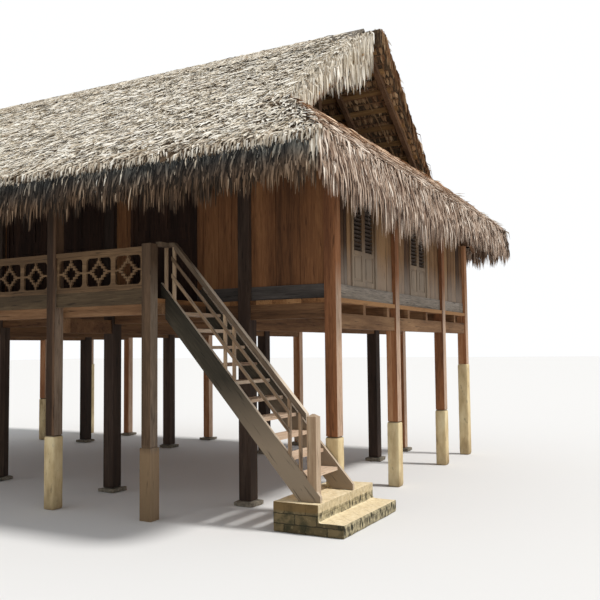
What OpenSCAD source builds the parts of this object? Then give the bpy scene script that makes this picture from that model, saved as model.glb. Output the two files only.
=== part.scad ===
/* [House plan] */
// Distance between the two outer rows of gable posts
house_len = 8355; // [7600:5:9200]
// Distance from a gable row to the first row of main columns
end_bay = 1110; // [1000:5:1300]
// Distance between the front and the rear line of main columns
room_depth = 3830; // [3500:5:4200]
// Distance from the rear columns to the rear wall posts
rear_aisle = 1260; // [1100:5:1400]
// Distance from the front columns to the porch posts
porch_depth = 1120; // [1050:5:1250]
// Depth at which the middle gable post stands
mid_post_y = 1830; // [1700:5:1900]

/* [Posts] */
// Side of a main column
column_w = 155; // [140:1:180]
// Side of a gable post
gable_post_w = 140; // [125:1:155]
// Side of a rear wall post
eave_post_w = 130; // [115:1:145]
// Side of a porch post that reaches the roof
porch_post_w = 130; // [115:1:145]
// Side of the low post at each end of the porch
landing_post_w = 120; // [105:1:130]
// Width of the thicker foot length of the landing posts
landing_foot_w = 145; // [130:1:170]
// Height of the thicker foot length of the landing posts
landing_foot_h = 760; // [600:10:900]
// Distance from a gable row to the low porch post
landing_post_in = 1650; // [1500:5:1800]
// Distance from the second column line to the tall porch post, towards the gable
porch_post_off = 125; // [100:5:250]
// Top of the low porch posts
landing_post_top = 2940; // [2900:5:3000]
// Width that a painted plinth stands proud of its post on each side
plinth_proud = 14; // [5:1:20]
// Height of a painted plinth
plinth_h = 835; // [700:5:950]
// Height of the painted foot of a rear corner post
tall_plinth_h = 1500; // [1300:5:1600]
// Side of a footing stone
stone_w = 270; // [220:5:330]
// Height of a footing stone
stone_h = 60; // [40:5:100]

/* [Floor] */
// Top of the floor
floor_z = 2350; // [2250:5:2450]
// Thickness of the floor boards
deck_t = 50; // [30:1:60]
// Height of a joist
joist_h = 120; // [100:5:140]
// Width of a joist
joist_w = 70; // [60:5:90]
// Height of a cross beam
cross_beam_h = 170; // [150:5:200]
// Width of a floor beam
beam_w = 100; // [90:5:115]
// Height of the long beams between the columns
long_beam_h = 170; // [150:5:180]
// Amount that the floor boards run past the wall line
deck_over = 60; // [40:5:70]

/* [Walls] */
// Thickness of the wall boarding
wall_t = 40; // [25:1:50]
// Height of a sill board
sill_h = 160; // [140:5:180]
// Thickness of a sill board
sill_t = 60; // [52:1:70]
// Width of a window or door frame member
frame_w = 45; // [40:1:55]
// Depth of a window or door frame member
frame_t = 70; // [60:1:80]
// Height of the boarding over a gable window
window_head = 60; // [30:5:150]
// Height of the boarding over a rear window
rear_window_head = 60; // [30:5:150]
// Width of a pair of gable shutters
window_w = 660; // [600:5:700]
// Centre of the first gable window
window_1_y = 845; // [800:5:900]
// Centre of the second gable window
window_2_y = 2815; // [2780:5:2900]
// Thickness of a shutter leaf
leaf_t = 34; // [30:1:40]
// Height at which the louvres start above the sill
louvre_from = 430; // [380:5:500]
// Distance between two louvre slats
slat_pitch = 50; // [45:1:60]
// Thickness of a louvre slat
slat_t = 9; // [7:1:12]
// Width of a leaf of the two side doors
door_leaf_w = 470; // [420:5:485]
// Width of the boards between the side door and the second column
door_gap = 242.5; // [200:2.5:280]
// Width of the boards between the wide middle door and the columns
wide_gap = 40; // [20:5:80]
// Height of the boarding over the front doors
door_head = 350; // [250:5:450]
// Height of the heavy rail of a door above the floor
door_rail_z = 800; // [750:5:850]

/* [Porch railing] */
// Height of the board along the porch edge above the floor
band_up = 100; // [80:5:120]
// Thickness of the porch edge board
band_t = 30; // [25:1:40]
// Height of the bottom rail
bottom_rail_h = 30; // [25:1:40]
// Height of the fretted panels
fret_h = 380; // [350:5:400]
// Height of the top rail
top_rail_h = 50; // [40:1:60]
// Thickness of the fretted panels
fret_t = 24; // [18:1:28]
// Width of the frame round a fretted opening
fret_frame = 30; // [24:1:36]
// Width of the bars of the stepped diamond
fret_bar = 20; // [16:1:24]

/* [Stair] */
// Outer face of the near stringer in front of the wall line
stair_front = 910; // [890:5:930]
// Inner face of the far stringer in front of the wall line
stair_back = 140; // [130:5:160]
// Thickness of a stringer
stringer_t = 40; // [35:1:50]
// Plumb height of a stringer
stringer_plumb = 330; // [300:5:345]
// Number of treads
tread_count = 10; // [10:1:10]
// Height from one tread to the next
riser = 186; // [182:1:188]
// Distance from one tread to the next along the stair
going = 165; // [162:1:168]
// Top of the first tread
first_tread_z = 530; // [520:1:540]
// Front edge of the first tread beyond the gable row
first_tread_x = 95; // [60:5:120]
// Depth of a tread
tread_d = 210; // [190:5:230]
// Thickness of a tread
tread_t = 35; // [30:1:40]
// Side of the newel
newel_w = 100; // [85:1:110]
// Left face of the newel beyond the gable row
newel_x = 130; // [120:5:140]
// Top of the newel
newel_top = 1150; // [1120:5:1180]
// Side of a baluster
baluster_w = 30; // [26:1:34]
// Depth of the handrail
handrail_h = 50; // [40:1:60]

/* [Masonry steps] */
// Top of the upper block
block_z = 297; // [280:1:310]
// Top of the lower step
step_z = 130; // [110:1:150]
// Left end of the upper block inside the gable row
block_in = 220; // [200:5:240]
// Right end of the upper block beyond the gable row
block_out = 280; // [250:5:300]
// Width of the lower step
step_w = 276; // [250:1:300]
// Front of the masonry in front of the wall line
block_front = 990; // [970:5:1010]
// Back of the masonry behind the wall line
block_back = 390; // [350:5:420]

/* [Roof] */
// Height of the underside of the wall plates above the floor
plate_up = 1954; // [1850:2:2050]
// Slope of the two long roof sides in degrees
main_pitch = 34.5; // [33:0.5:36]
// Distance from the front columns out to the foot of the open gable
gable_out = 485; // [400:5:560]
// Distance from the front columns out to the eave
eave_out = 1685; // [1640:5:1780]
// Distance from the gable row in to the head of the skirt
skirt_in = 230; // [200:5:260]
// Distance from the gable row out to the eave of the skirt
skirt_out = 720; // [680:5:760]
// Plumb thickness of the thatch
thatch_v = 220; // [180:5:260]
// Number of courses of leaves from the ridge boards down to the foot of the open gable
upper_courses = 9; // [6:1:12]
// Number of courses of leaves from there down to the eave
lower_courses = 5; // [3:1:7]
// Plumb height of the butt of a course
course_butt = 40; // [20:5:60]
// Drop of the leaf tips below the front and rear eaves
fringe_drop = 520; // [450:5:560]
// Drop of the leaf tips below the eaves of the skirts
skirt_fringe_drop = 640; // [560:5:700]
// Thickness of the fringe of leaf tips
fringe_t = 65; // [50:1:80]
// Radius of the eave corners in plan
eave_round = 450; // [350:5:460]
// Plumb height of a batten
batten_v = 30; // [25:1:40]
// Width of a batten
batten_w = 50; // [40:1:60]
// Distance between battens in plan
batten_pitch = 270; // [250:5:400]
// Plumb height of a rafter
rafter_v = 85; // [75:1:95]
// Width of a rafter
rafter_w = 70; // [60:1:80]
// Width of a wall plate
plate_w = 130; // [110:1:140]
// Height of a wall plate
plate_h = 150; // [130:1:160]
// Height of an eave plate and of a gable plate
eave_plate_h = 110; // [90:1:120]
// Width of an eave plate and of a gable plate
eave_plate_w = 100; // [90:1:110]
// Height of a tie beam
tie_h = 130; // [110:1:150]
// Thickness of the ridge boards
cap_t = 30; // [20:1:40]
// Width of a ridge board in plan
cap_w = 330; // [280:5:380]

/* [Hidden] */

// Column lines, counted from the right-hand gable row at x = 0
bay = (house_len - 2 * end_bay) / 3;
column_xs = [for (k = [0:3]) -end_bay - k * bay];
gable_xs = [0, -house_len];
rear_y = room_depth + rear_aisle;
mid_x = -house_len / 2;
line_ys = [0, room_depth];
row_ys = [0, room_depth, rear_y];
door_in = end_bay + bay - column_w / 2 - door_gap - frame_w - door_leaf_w;
door_xs = [-door_in, -house_len + door_in];

// Floor levels
deck_z = floor_z - deck_t;
joist_z = deck_z - joist_h;
cross_z = joist_z - cross_beam_h;
long_z = deck_z - long_beam_h;
sill_z = floor_z + sill_h;

// Roof planes, given by their plumb height at a place in plan
ridge_y = room_depth / 2;
gable_half = ridge_y + gable_out;
eave_half = ridge_y + eave_out;
main_rise = tan(main_pitch);
batten_drop = thatch_v;
rafter_drop = thatch_v + batten_v;
frame_drop = rafter_drop + rafter_v;
plate_z = floor_z + plate_up;
ridge_z = plate_z + plate_h + frame_drop + main_rise * (ridge_y + plate_w / 2);
skirt_z = ridge_z - main_rise * gable_half;
eave_z = ridge_z - main_rise * eave_half;
hip_run = eave_half - gable_half;
skirt_run = skirt_in + skirt_out;
skirt_rise = (skirt_z - eave_z) / skirt_run;
function main_z(y, drop) = ridge_z - main_rise * abs(y - ridge_y) - drop;
function skirt_top_z(x, drop) = skirt_z - skirt_rise * (x + skirt_in) - drop;
// A step along the roof, 0 at the head of the skirt and 1 at the eave
function step_y(u) = gable_half + hip_run * u;
function step_x(u) = skirt_run * u - skirt_in;
function slope_z(u) = skirt_z + (eave_z - skirt_z) * u;

// Tops of what carries the roof
tie_z = plate_z - tie_h;
front_eave_z = main_z(-porch_depth - eave_plate_w / 2, frame_drop) - eave_plate_h;
rear_eave_z = main_z(rear_y + eave_plate_w / 2, frame_drop) - eave_plate_h;
gable_plate_z = skirt_top_z(eave_plate_w / 2, frame_drop) - eave_plate_h;
ridge_pole_h = 130;
head_t = 60;

// Porch and stair lines
porch_y = -porch_depth;
landing_y = porch_y + (porch_post_w - landing_post_w) / 2;
landing_xs = [-landing_post_in, landing_post_in - house_len];
porch_xs = [column_xs[1] + porch_post_off, column_xs[2] - porch_post_off];
deck_short = 10;
porch_right = landing_xs[0] + landing_post_w / 2 - deck_short;
porch_left = landing_xs[1] - landing_post_w / 2 + deck_short;
band_in = 25;
band_y = porch_y - porch_post_w / 2 + band_in;
rail_z = floor_z + band_up;
fret_z = rail_z + bottom_rail_h;
top_rail_z = fret_z + fret_h;
stair_slope = riser / going;
nose_line = first_tread_z + stair_slope * first_tread_x;
near_y = -stair_front;
far_y = -stair_back;
stair_mid_y = near_y + stringer_t / 2;
stringer_over = 25;
function stringer_top(x) = nose_line - stair_slope * x + stringer_over;
handrail_lift = 640;
handrail_plumb = handrail_h / cos(atan(stair_slope));
baluster_xs = [-1600, -1490, -830, -720, -70, 50];
mid_rail_lifts = [220, 410];
mid_rail_h = 45;

// A block between two corners
module block(low, high) {
    translate(low) cube(high - low);
}

// A profile drawn in depth and height, pulled along the house
module along_x(x_0, x_1) {
    translate([x_0, 0, 0]) rotate([90, 0, 90]) linear_extrude(x_1 - x_0) children();
}

// A profile drawn in length and height, pulled along the depth
module along_y(y_0, y_1) {
    translate([0, y_1, 0]) rotate([90, 0, 0]) linear_extrude(y_1 - y_0) children();
}

// An upright timber standing centred on a place in plan
module upright(x, y, w, z_0, z_1) {
    block([x - w / 2, y - w / 2, z_0], [x + w / 2, y + w / 2, z_1]);
}

// The same shape at both ends of the house
module both_gables() {
    children();
    translate([-house_len, 0, 0]) mirror([1, 0, 0]) children();
}

module masonry_steps() {
    w = gable_post_w + 2 * plinth_proud;
    color("#a8875c") difference() {
        along_y(-block_front, block_back) polygon([
            [-block_in, 0], [block_out + step_w, 0], [block_out + step_w, step_z],
            [block_out, step_z], [block_out, block_z], [-block_in, block_z]
        ]);
        block([-w / 2, -w / 2, -1], [w / 2, w / 2, block_z + 1]);
    }
}

module post_plinths() {
    w = gable_post_w + 2 * plinth_proud;
    color("#d9c79a") {
        both_gables() {
            for (y = [0, mid_post_y, room_depth]) upright(0, y, w, 0, plinth_h);
            upright(0, rear_y, w, 0, tall_plinth_h);
        }
        for (x = porch_xs) upright(x, porch_y, porch_post_w + 2 * plinth_proud, 0, plinth_h);
    }
}

module footing_stones() {
    color("#8c8578") for (x = column_xs, y = row_ys) {
        upright(x, y, stone_w, 0, stone_h);
    }
}

module gable_posts() {
    color("#6d4630") both_gables() {
        for (y = [0, mid_post_y, room_depth]) upright(0, y, gable_post_w, plinth_h, gable_plate_z);
        upright(0, rear_y, gable_post_w, tall_plinth_h, rear_eave_z);
    }
}

module main_columns() {
    color("#4b3a2e") for (x = column_xs, y = line_ys) upright(x, y, column_w, stone_h, tie_z);
}

module rear_wall_posts() {
    color("#5a4433") for (x = column_xs) upright(x, rear_y, eave_post_w, stone_h, rear_eave_z);
}

module porch_posts() {
    color("#6d4630") for (x = porch_xs) upright(x, porch_y, porch_post_w, plinth_h, front_eave_z);
}

module landing_posts() {
    color("#7d5a41") for (x = landing_xs) {
        upright(x, landing_y, landing_post_w, 0, landing_post_top);
        upright(x, landing_y, landing_foot_w, 0, landing_foot_h);
    }
}

// Ends of the beam lengths between the posts of one long row
function row_stops(y) = y == rear_y
    ? concat([-house_len + gable_post_w / 2], [for (k = [3:-1:0]) each [column_xs[k] - eave_post_w / 2,
        column_xs[k] + eave_post_w / 2]], [-gable_post_w / 2])
    : concat([-house_len + gable_post_w / 2], [for (k = [3:-1:0]) each [column_xs[k] - column_w / 2,
        column_xs[k] + column_w / 2]], [-gable_post_w / 2]);

// Ends of the lengths between the posts of the gable row, from front to back
gable_stops = [
    gable_post_w / 2, mid_post_y - gable_post_w / 2, mid_post_y + gable_post_w / 2,
    room_depth - gable_post_w / 2, room_depth + gable_post_w / 2, rear_y - gable_post_w / 2
];

module long_floor_beams() {
    color("#8a6244") for (y = row_ys) {
        s = row_stops(y);
        for (k = [0:2:8]) block([s[k], y - beam_w / 2, long_z], [s[k + 1], y + beam_w / 2, deck_z]);
    }
}

module cross_floor_beams() {
    color("#8a6244") {
        both_gables() for (k = [0:2:4]) {
            block([-beam_w / 2, gable_stops[k], cross_z], [beam_w / 2, gable_stops[k + 1], joist_z]);
        }
        for (x = column_xs) {
            block([x - beam_w / 2, column_w / 2, cross_z],
                [x + beam_w / 2, room_depth - column_w / 2, joist_z]);
            block([x - beam_w / 2, room_depth + column_w / 2, cross_z],
                [x + beam_w / 2, rear_y - eave_post_w / 2, joist_z]);
        }
    }
}

joist_count = 4;
module floor_joists() {
    room_ys = [for (k = [1:joist_count]) k * room_depth / (joist_count + 1)];
    ys = concat(room_ys, [room_depth + rear_aisle / 2]);
    color("#8a6244") for (y = ys) {
        block([-house_len - beam_w / 2, y - joist_w / 2, joist_z], [beam_w / 2, y + joist_w / 2, deck_z]);
    }
}

// The porch is carried by brackets from the columns, a front beam and two end beams
module porch_beams() {
    back = porch_y + porch_post_w / 2;
    color("#8a6244") {
        for (k = [1:2]) {
            block([column_xs[k] - beam_w / 2, back + joist_w, cross_z],
                [column_xs[k] + beam_w / 2, -column_w / 2, joist_z]);
        }
        block([porch_left, back, joist_z], [porch_right, back + joist_w, deck_z]);
        for (x = [porch_right - joist_w, porch_left]) {
            block([x, back + joist_w, joist_z], [x + joist_w, -beam_w / 2, deck_z]);
        }
    }
}

module floor_deck() {
    color("#a1714a") difference() {
        block([-house_len - deck_over, -deck_over, deck_z], [deck_over, rear_y + deck_over, floor_z]);
        for (x = column_xs) {
            for (y = line_ys) upright(x, y, column_w, deck_z - 1, floor_z + 1);
            upright(x, rear_y, eave_post_w, deck_z - 1, floor_z + 1);
        }
        for (x = gable_xs, y = [0, mid_post_y, room_depth, rear_y]) {
            upright(x, y, gable_post_w, deck_z - 1, floor_z + 1);
        }
    }
}

module porch_deck() {
    color("#a1714a") difference() {
        block([porch_left, band_y + band_t, deck_z], [porch_right, -deck_over, floor_z]);
        for (x = porch_xs) upright(x, porch_y, porch_post_w, deck_z - 1, floor_z + 1);
        for (x = landing_xs) upright(x, landing_y, landing_post_w, deck_z - 1, floor_z + 1);
        for (k = [1:2]) upright(column_xs[k], 0, column_w, deck_z - 1, floor_z + 1);
    }
}

// Clear lengths of the porch front between its posts
porch_runs = [
    [landing_xs[1] + landing_post_w / 2, porch_xs[1] - porch_post_w / 2],
    [porch_xs[1] + porch_post_w / 2, porch_xs[0] - porch_post_w / 2],
    [porch_xs[0] + porch_post_w / 2, landing_xs[0] - landing_post_w / 2]
];

module porch_band_board() {
    color("#8f6f50") for (r = porch_runs) {
        block([r[0], band_y, deck_z - 10], [r[1], band_y + band_t, rail_z]);
    }
}

// A sill stands on the floor between the posts, and the boarding stands on the sill
module sill_boards() {
    color("#6a5f54") {
        s = row_stops(0);
        for (k = [0, 4, 8]) block([s[k], -sill_t / 2, floor_z], [s[k + 1], sill_t / 2, sill_z]);
        for (side = [0, 1]) {
            k = side == 0 ? 2 : 6;
            far = side == 0 ? -house_len + door_in : -door_in;
            block([s[k], -sill_t / 2, floor_z], [far - door_half, sill_t / 2, sill_z]);
            block([far + door_half, -sill_t / 2, floor_z], [s[k + 1], sill_t / 2, sill_z]);
        }
        r = row_stops(rear_y);
        for (k = [0:2:8]) {
            block([r[k], rear_y - sill_t / 2, floor_z], [r[k + 1], rear_y + sill_t / 2, sill_z]);
        }
        both_gables() for (k = [0:2:4]) {
            block([-sill_t / 2, gable_stops[k], floor_z], [sill_t / 2, gable_stops[k + 1], sill_z]);
        }
    }
}

// The doors reach up to the boarding under the wall plates
door_half = door_leaf_w + frame_w;
wide_half = bay / 2 - column_w / 2 - wide_gap - frame_w;
wide_leaf_w = wide_half / 2;
door_top = plate_z - door_head - frame_w;
door_h = door_top - floor_z;
wall_clear = 20;

module front_wall() {
    s = row_stops(0);
    color("#9c6b45") {
        both_gables() along_y(-wall_t / 2, wall_t / 2) polygon([
            [s[8], sill_z], [s[9], sill_z], [s[9], skirt_top_z(s[9], frame_drop) - wall_clear],
            [-skirt_in - head_t, skirt_top_z(-skirt_in, frame_drop) - wall_clear],
            [-skirt_in - head_t - wall_clear, plate_z], [s[8], plate_z]
        ]);
        both_gables() {
            block([s[6], -wall_t / 2, sill_z], [-door_in - door_half, wall_t / 2, plate_z]);
            block([-door_in + door_half, -wall_t / 2, sill_z], [s[7], wall_t / 2, plate_z]);
            block([mid_x + wide_half + frame_w, -wall_t / 2, sill_z], [s[5], wall_t / 2, plate_z]);
        }
    }
}

module front_wall_over_doors() {
    color("#9c6b45") {
        for (x = door_xs) {
            block([x - door_half, -wall_t / 2, door_top + frame_w], [x + door_half, wall_t / 2, plate_z]);
        }
        block([mid_x - wide_half - frame_w, -wall_t / 2, door_top + frame_w],
            [mid_x + wide_half + frame_w, wall_t / 2, plate_z]);
    }
}

window_ys = [window_1_y, window_2_y];
window_half = window_w / 2 + frame_w;
window_top = gable_plate_z - window_head - frame_w;
window_h = window_top - sill_z;

module gable_walls() {
    color("#8d7358") both_gables() {
        for (k = [0, 1]) {
            block([-wall_t / 2, gable_stops[2 * k], sill_z],
                [wall_t / 2, window_ys[k] - window_half, gable_plate_z]);
            block([-wall_t / 2, window_ys[k] + window_half, sill_z],
                [wall_t / 2, gable_stops[2 * k + 1], gable_plate_z]);
        }
        along_x(-wall_t / 2, wall_t / 2) polygon([
            [gable_stops[4], sill_z], [gable_stops[5], sill_z], [gable_stops[5], rear_eave_z],
            [ridge_y + gable_half + plate_w, gable_plate_z], [gable_stops[4], gable_plate_z]
        ]);
    }
}

module gable_walls_over_windows() {
    color("#8d7358") both_gables() for (y = window_ys) {
        block([-wall_t / 2, y - window_half, window_top + frame_w],
            [wall_t / 2, y + window_half, gable_plate_z]);
    }
}

// The rear wall has a window in the second and in the fourth bay
rear_window_xs = [(column_xs[0] + column_xs[1]) / 2, (column_xs[2] + column_xs[3]) / 2];
rear_top = rear_eave_z - rear_window_head - frame_w;
rear_window_h = rear_top - sill_z;

module rear_wall() {
    r = row_stops(rear_y);
    color("#8d7358") {
        for (k = [0, 4, 8]) {
            block([r[k], rear_y - wall_t / 2, sill_z], [r[k + 1], rear_y + wall_t / 2, rear_eave_z]);
        }
        for (k = [0, 1]) {
            x = rear_window_xs[k];
            stop = k == 0 ? 6 : 2;
            block([r[stop], rear_y - wall_t / 2, sill_z],
                [x - window_half, rear_y + wall_t / 2, rear_eave_z]);
            block([x + window_half, rear_y - wall_t / 2, sill_z],
                [r[stop + 1], rear_y + wall_t / 2, rear_eave_z]);
        }
    }
}

module rear_wall_over_windows() {
    color("#8d7358") for (x = rear_window_xs) {
        block([x - window_half, rear_y - wall_t / 2, rear_top + frame_w],
            [x + window_half, rear_y + wall_t / 2, rear_eave_z]);
    }
}

// Two jambs and a head round an opening of the given width and height
module surround(w, h) {
    along_y(-frame_t / 2, frame_t / 2) difference() {
        translate([-w / 2 - frame_w, 0]) square([w + 2 * frame_w, h + frame_w]);
        translate([-w / 2, -1]) square([w, h + 1]);
    }
}

module door_frames() {
    color("#5b4032") {
        for (x = door_xs) translate([x, 0, floor_z]) surround(2 * door_leaf_w, door_h);
        translate([mid_x, 0, sill_z]) surround(2 * wide_half, door_h - sill_h);
    }
}

// The gap left round a leaf, and the depth to which its panels lie back from its faces
leaf_gap = 0.5;
panel_cut = 9;

// A door leaf is a frame of stiles and rails round two thin panels
module door_leaf(w, h, rail_z) {
    stile = 60;
    foot = 90;
    rail = 150;
    color("#5e3b2a") difference() {
        translate([leaf_gap, -leaf_t / 2, leaf_gap]) cube([w - 2 * leaf_gap, leaf_t, h - 2 * leaf_gap]);
        for (y = [-leaf_t / 2 - panel_cut, leaf_t / 2 - panel_cut]) translate([stile, y, 0]) {
            translate([0, 0, foot]) cube([w - 2 * stile, 2 * panel_cut, rail_z - foot]);
            translate([0, 0, rail_z + rail]) cube([w - 2 * stile, 2 * panel_cut, h - rail_z - rail - stile]);
        }
    }
}

module door_leaves() {
    for (x = door_xs, k = [-1, 0]) {
        translate([x + k * door_leaf_w, 0, floor_z]) door_leaf(door_leaf_w, door_h, door_rail_z);
    }
    for (k = [-2:1]) {
        translate([mid_x + k * wide_leaf_w, 0, sill_z]) {
            door_leaf(wide_leaf_w, door_h - sill_h, door_rail_z - sill_h);
        }
    }
}

module window_frames() {
    color("#6b5a48") {
        both_gables() for (y = window_ys) {
            translate([0, y, sill_z]) rotate([0, 0, 90]) surround(window_w, window_h);
        }
        for (x = rear_window_xs) translate([x, rear_y, sill_z]) surround(window_w, rear_window_h);
    }
}

// A shutter leaf has a raised panel below and sloping slats above
stile_w = 48;
module shutter_leaf(h) {
    w = window_w / 2 - 2 * leaf_gap;
    clear_w = w - 2 * stile_w;
    foot = 70;
    field = 30;
    slat_d = 40;
    first = louvre_from + field;
    count = floor((h - first - stile_w) / slat_pitch);
    color("#8a7864") {
        difference() {
            translate([0, -leaf_t / 2, leaf_gap]) cube([w, leaf_t, h - 2 * leaf_gap]);
            translate([stile_w, -leaf_t, louvre_from]) {
                cube([clear_w, 2 * leaf_t, h - louvre_from - stile_w]);
            }
            for (y = [-leaf_t / 2 - panel_cut, leaf_t / 2 - panel_cut]) {
                translate([stile_w, y, foot]) cube([clear_w, 2 * panel_cut, louvre_from - foot - stile_w]);
            }
        }
        translate([stile_w + field, -leaf_t / 2 + 2, foot + field]) {
            cube([clear_w - 2 * field, leaf_t - 4, louvre_from - foot - 2 * field - stile_w]);
        }
        for (k = [0:count - 1]) translate([stile_w - 1, 0, first + k * slat_pitch]) {
            rotate([-40, 0, 0]) translate([0, -slat_d / 2, -slat_t / 2]) cube([clear_w + 2, slat_d, slat_t]);
        }
    }
}

module shutter_pair(h) {
    for (k = [-1, 0]) translate([k * window_w / 2 + leaf_gap, 0, 0]) shutter_leaf(h);
}

module window_shutters() {
    both_gables() for (y = window_ys) translate([0, y, sill_z]) rotate([0, 0, 90]) shutter_pair(window_h);
    for (x = rear_window_xs) translate([x, rear_y, sill_z]) rotate([0, 0, 180]) shutter_pair(rear_window_h);
}

// A length of railing, drawn from its left end, with square fretted panels
fret_corner = 45;
fret_steps = 3;
module fret_panel(w) {
    cell = fret_bar * 1.6;
    open_w = w - 2 * fret_frame;
    open_h = fret_h - 2 * fret_frame;
    difference() {
        square([w, fret_h]);
        translate([w / 2, fret_h / 2]) offset(r = fret_corner, $fn = 24) {
            square([open_w - 2 * fret_corner, open_h - 2 * fret_corner], center = true);
        }
    }
    translate([w / 2, fret_h / 2]) intersection() {
        square([open_w + fret_frame, open_h + fret_frame], center = true);
        union() {
            difference() {
                stepped_diamond(fret_steps, cell, fret_bar / 2);
                stepped_diamond(fret_steps, cell, -fret_bar / 2);
            }
            for (a = [0:90:270]) rotate(a) {
                translate([fret_steps * cell, -fret_bar / 2]) square([w, fret_bar]);
            }
        }
    }
}

// A diamond whose sides climb in square steps, grown by a margin
module stepped_diamond(n, cell, grow) {
    for (k = [0:n]) {
        w = (n - k + 0.5) * cell + grow;
        h = (k + 0.5) * cell + grow;
        square([2 * w, 2 * h], center = true);
    }
}

fret_y = band_y + band_t / 2;
end_rail_x = landing_xs[1];
module railing_run(length, panels) {
    w = length / panels;
    along_y(-fret_t / 2, fret_t / 2) for (k = [0:panels - 1]) translate([k * w, 0]) fret_panel(w);
}

module railing_fretwork() {
    counts = [3, 5, 3];
    color("#b58a5e") {
        for (k = [0:2]) translate([porch_runs[k][0], fret_y, fret_z]) {
            railing_run(porch_runs[k][1] - porch_runs[k][0], counts[k]);
        }
        back = porch_y + porch_post_w / 2;
        translate([end_rail_x, back, fret_z]) rotate([0, 0, 90]) railing_run(-back - sill_t / 2, 2);
    }
}

module railing_rails() {
    back = porch_y + porch_post_w / 2;
    color("#b58a5e") {
        for (r = porch_runs) {
            block([r[0], fret_y - 20, rail_z], [r[1], fret_y + 20, fret_z]);
            block([r[0], fret_y - 30, top_rail_z], [r[1], fret_y + 30, top_rail_z + top_rail_h]);
        }
        block([end_rail_x - 20, back, floor_z], [end_rail_x + 20, -sill_t / 2, fret_z]);
        block([end_rail_x - 30, back, top_rail_z], [end_rail_x + 30, -sill_t / 2, top_rail_z + top_rail_h]);
    }
}

// A stringer runs down to a pointed toe on the upper block and laps the low porch post at its head
toe_in = 10;
module stringer(y) {
    head = porch_right - landing_post_w / 2;
    toe = block_out - toe_in;
    heel = newel_x - (block_z - stringer_top(newel_x) + stringer_plumb) / stair_slope;
    along_y(y, y + stringer_t) polygon([
        [toe, block_z], [toe, stringer_top(toe)], [head, stringer_top(head)],
        [head, floor_z], [porch_right, floor_z],
        [porch_right, stringer_top(porch_right) - stringer_plumb], [heel, block_z]
    ]);
}

module stair_stringers() {
    color("#7b6a56") for (y = [near_y, far_y]) stringer(y);
}

module stair_treads() {
    color("#b39877") for (k = [0:tread_count - 1]) {
        x = first_tread_x - k * going;
        z = first_tread_z + k * riser;
        block([x - tread_d, near_y + stringer_t, z - tread_t], [x, far_y, z]);
    }
}

// The newel is flush with the near stringer and notched over it, and its cap is a low blunt pyramid
newel_cap = 25;
newel_set = 6;
cap_taper = 0.2;
module stair_newel() {
    y = near_y + newel_w / 2;
    color("#8a6f55") difference() {
        union() {
            upright(newel_x + newel_w / 2, y, newel_w, block_z, newel_top - newel_cap);
            translate([newel_x + newel_w / 2, y, newel_top - newel_cap]) {
                linear_extrude(newel_cap, scale = cap_taper) square(newel_w - newel_set, center = true);
            }
        }
        stringer(near_y);
    }
}

function handrail_z(x) = stringer_top(x) + handrail_lift;

handrail_w = 60;
module stair_handrail() {
    w = handrail_w / 2;
    x_0 = baluster_xs[0] - baluster_w / 2;
    x_1 = baluster_xs[1] + baluster_w / 2;
    flat = handrail_z(x_1);
    back = landing_y + landing_post_w / 2;
    color("#8a7058") {
        along_y(stair_mid_y - w, stair_mid_y + w) polygon([
            [x_0, flat - handrail_h], [x_0, flat], [x_1, flat], [newel_x, handrail_z(newel_x)],
            [newel_x, handrail_z(newel_x) - handrail_plumb], [x_1, flat - handrail_plumb],
            [x_1, flat - handrail_h]
        ]);
        block([x_0, back, flat - handrail_h], [x_0 + handrail_w, stair_mid_y - w, flat]);
    }
}

mid_rail_t = 20;
module stair_mid_rails() {
    y = stair_mid_y - baluster_w / 2;
    x_0 = baluster_xs[1] - baluster_w / 2;
    x_1 = baluster_xs[4] + baluster_w / 2;
    color("#8a7058") for (lift = mid_rail_lifts) along_y(y - mid_rail_t, y) polygon([
        [x_0, stringer_top(x_0) + lift], [x_0, stringer_top(x_0) + lift + mid_rail_h],
        [x_1, stringer_top(x_1) + lift + mid_rail_h], [x_1, stringer_top(x_1) + lift]
    ]);
}

module stair_balusters() {
    h = baluster_w / 2;
    x_top = baluster_xs[1] + h;
    color("#8a7058") for (k = [0:5]) {
        x = baluster_xs[k];
        level = handrail_z(x_top) - handrail_h;
        along_y(stair_mid_y - h, stair_mid_y + h) polygon([
            [x - h, stringer_top(x - h)], [x + h, stringer_top(x + h)],
            [x + h, k < 2 ? level : handrail_z(x + h) - handrail_plumb],
            [x - h, k < 2 ? level : handrail_z(x - h) - handrail_plumb]
        ]);
    }
}

// A beam along the house whose top is cut to the slope of the rafters
module sloped_plate(y, w, h) {
    low = main_z(y < ridge_y ? y - w / 2 : y + w / 2, frame_drop) - h;
    polygon([
        [y - w / 2, low], [y + w / 2, low],
        [y + w / 2, main_z(y + w / 2, frame_drop)], [y - w / 2, main_z(y - w / 2, frame_drop)]
    ]);
}

roof_right = -skirt_in - head_t;
roof_left = -house_len - roof_right;

module wall_plates() {
    color("#5a4433") for (y = line_ys) along_x(roof_left, roof_right) sloped_plate(y, plate_w, plate_h);
}

// Where a line along the house at this depth meets the inner side of a hip rafter
hip_w = 80;
function hip_x(y) = step_x((abs(y - ridge_y) - gable_half) / hip_run);
function hip_y(x) = step_y((x + skirt_in) / skirt_run);
hip_clear = hip_w / 2 * norm([skirt_run, hip_run]) / hip_run + 1;
hip_clear_y = hip_w / 2 * norm([skirt_run, hip_run]) / skirt_run + 1;

module eave_plates() {
    color("#5a4433") for (y = [porch_y, rear_y]) {
        x = hip_x(y < 0 ? y + eave_plate_w / 2 : y - eave_plate_w / 2) - hip_clear;
        along_x(-house_len - x, x) sloped_plate(y, eave_plate_w, eave_plate_h);
    }
}

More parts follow.
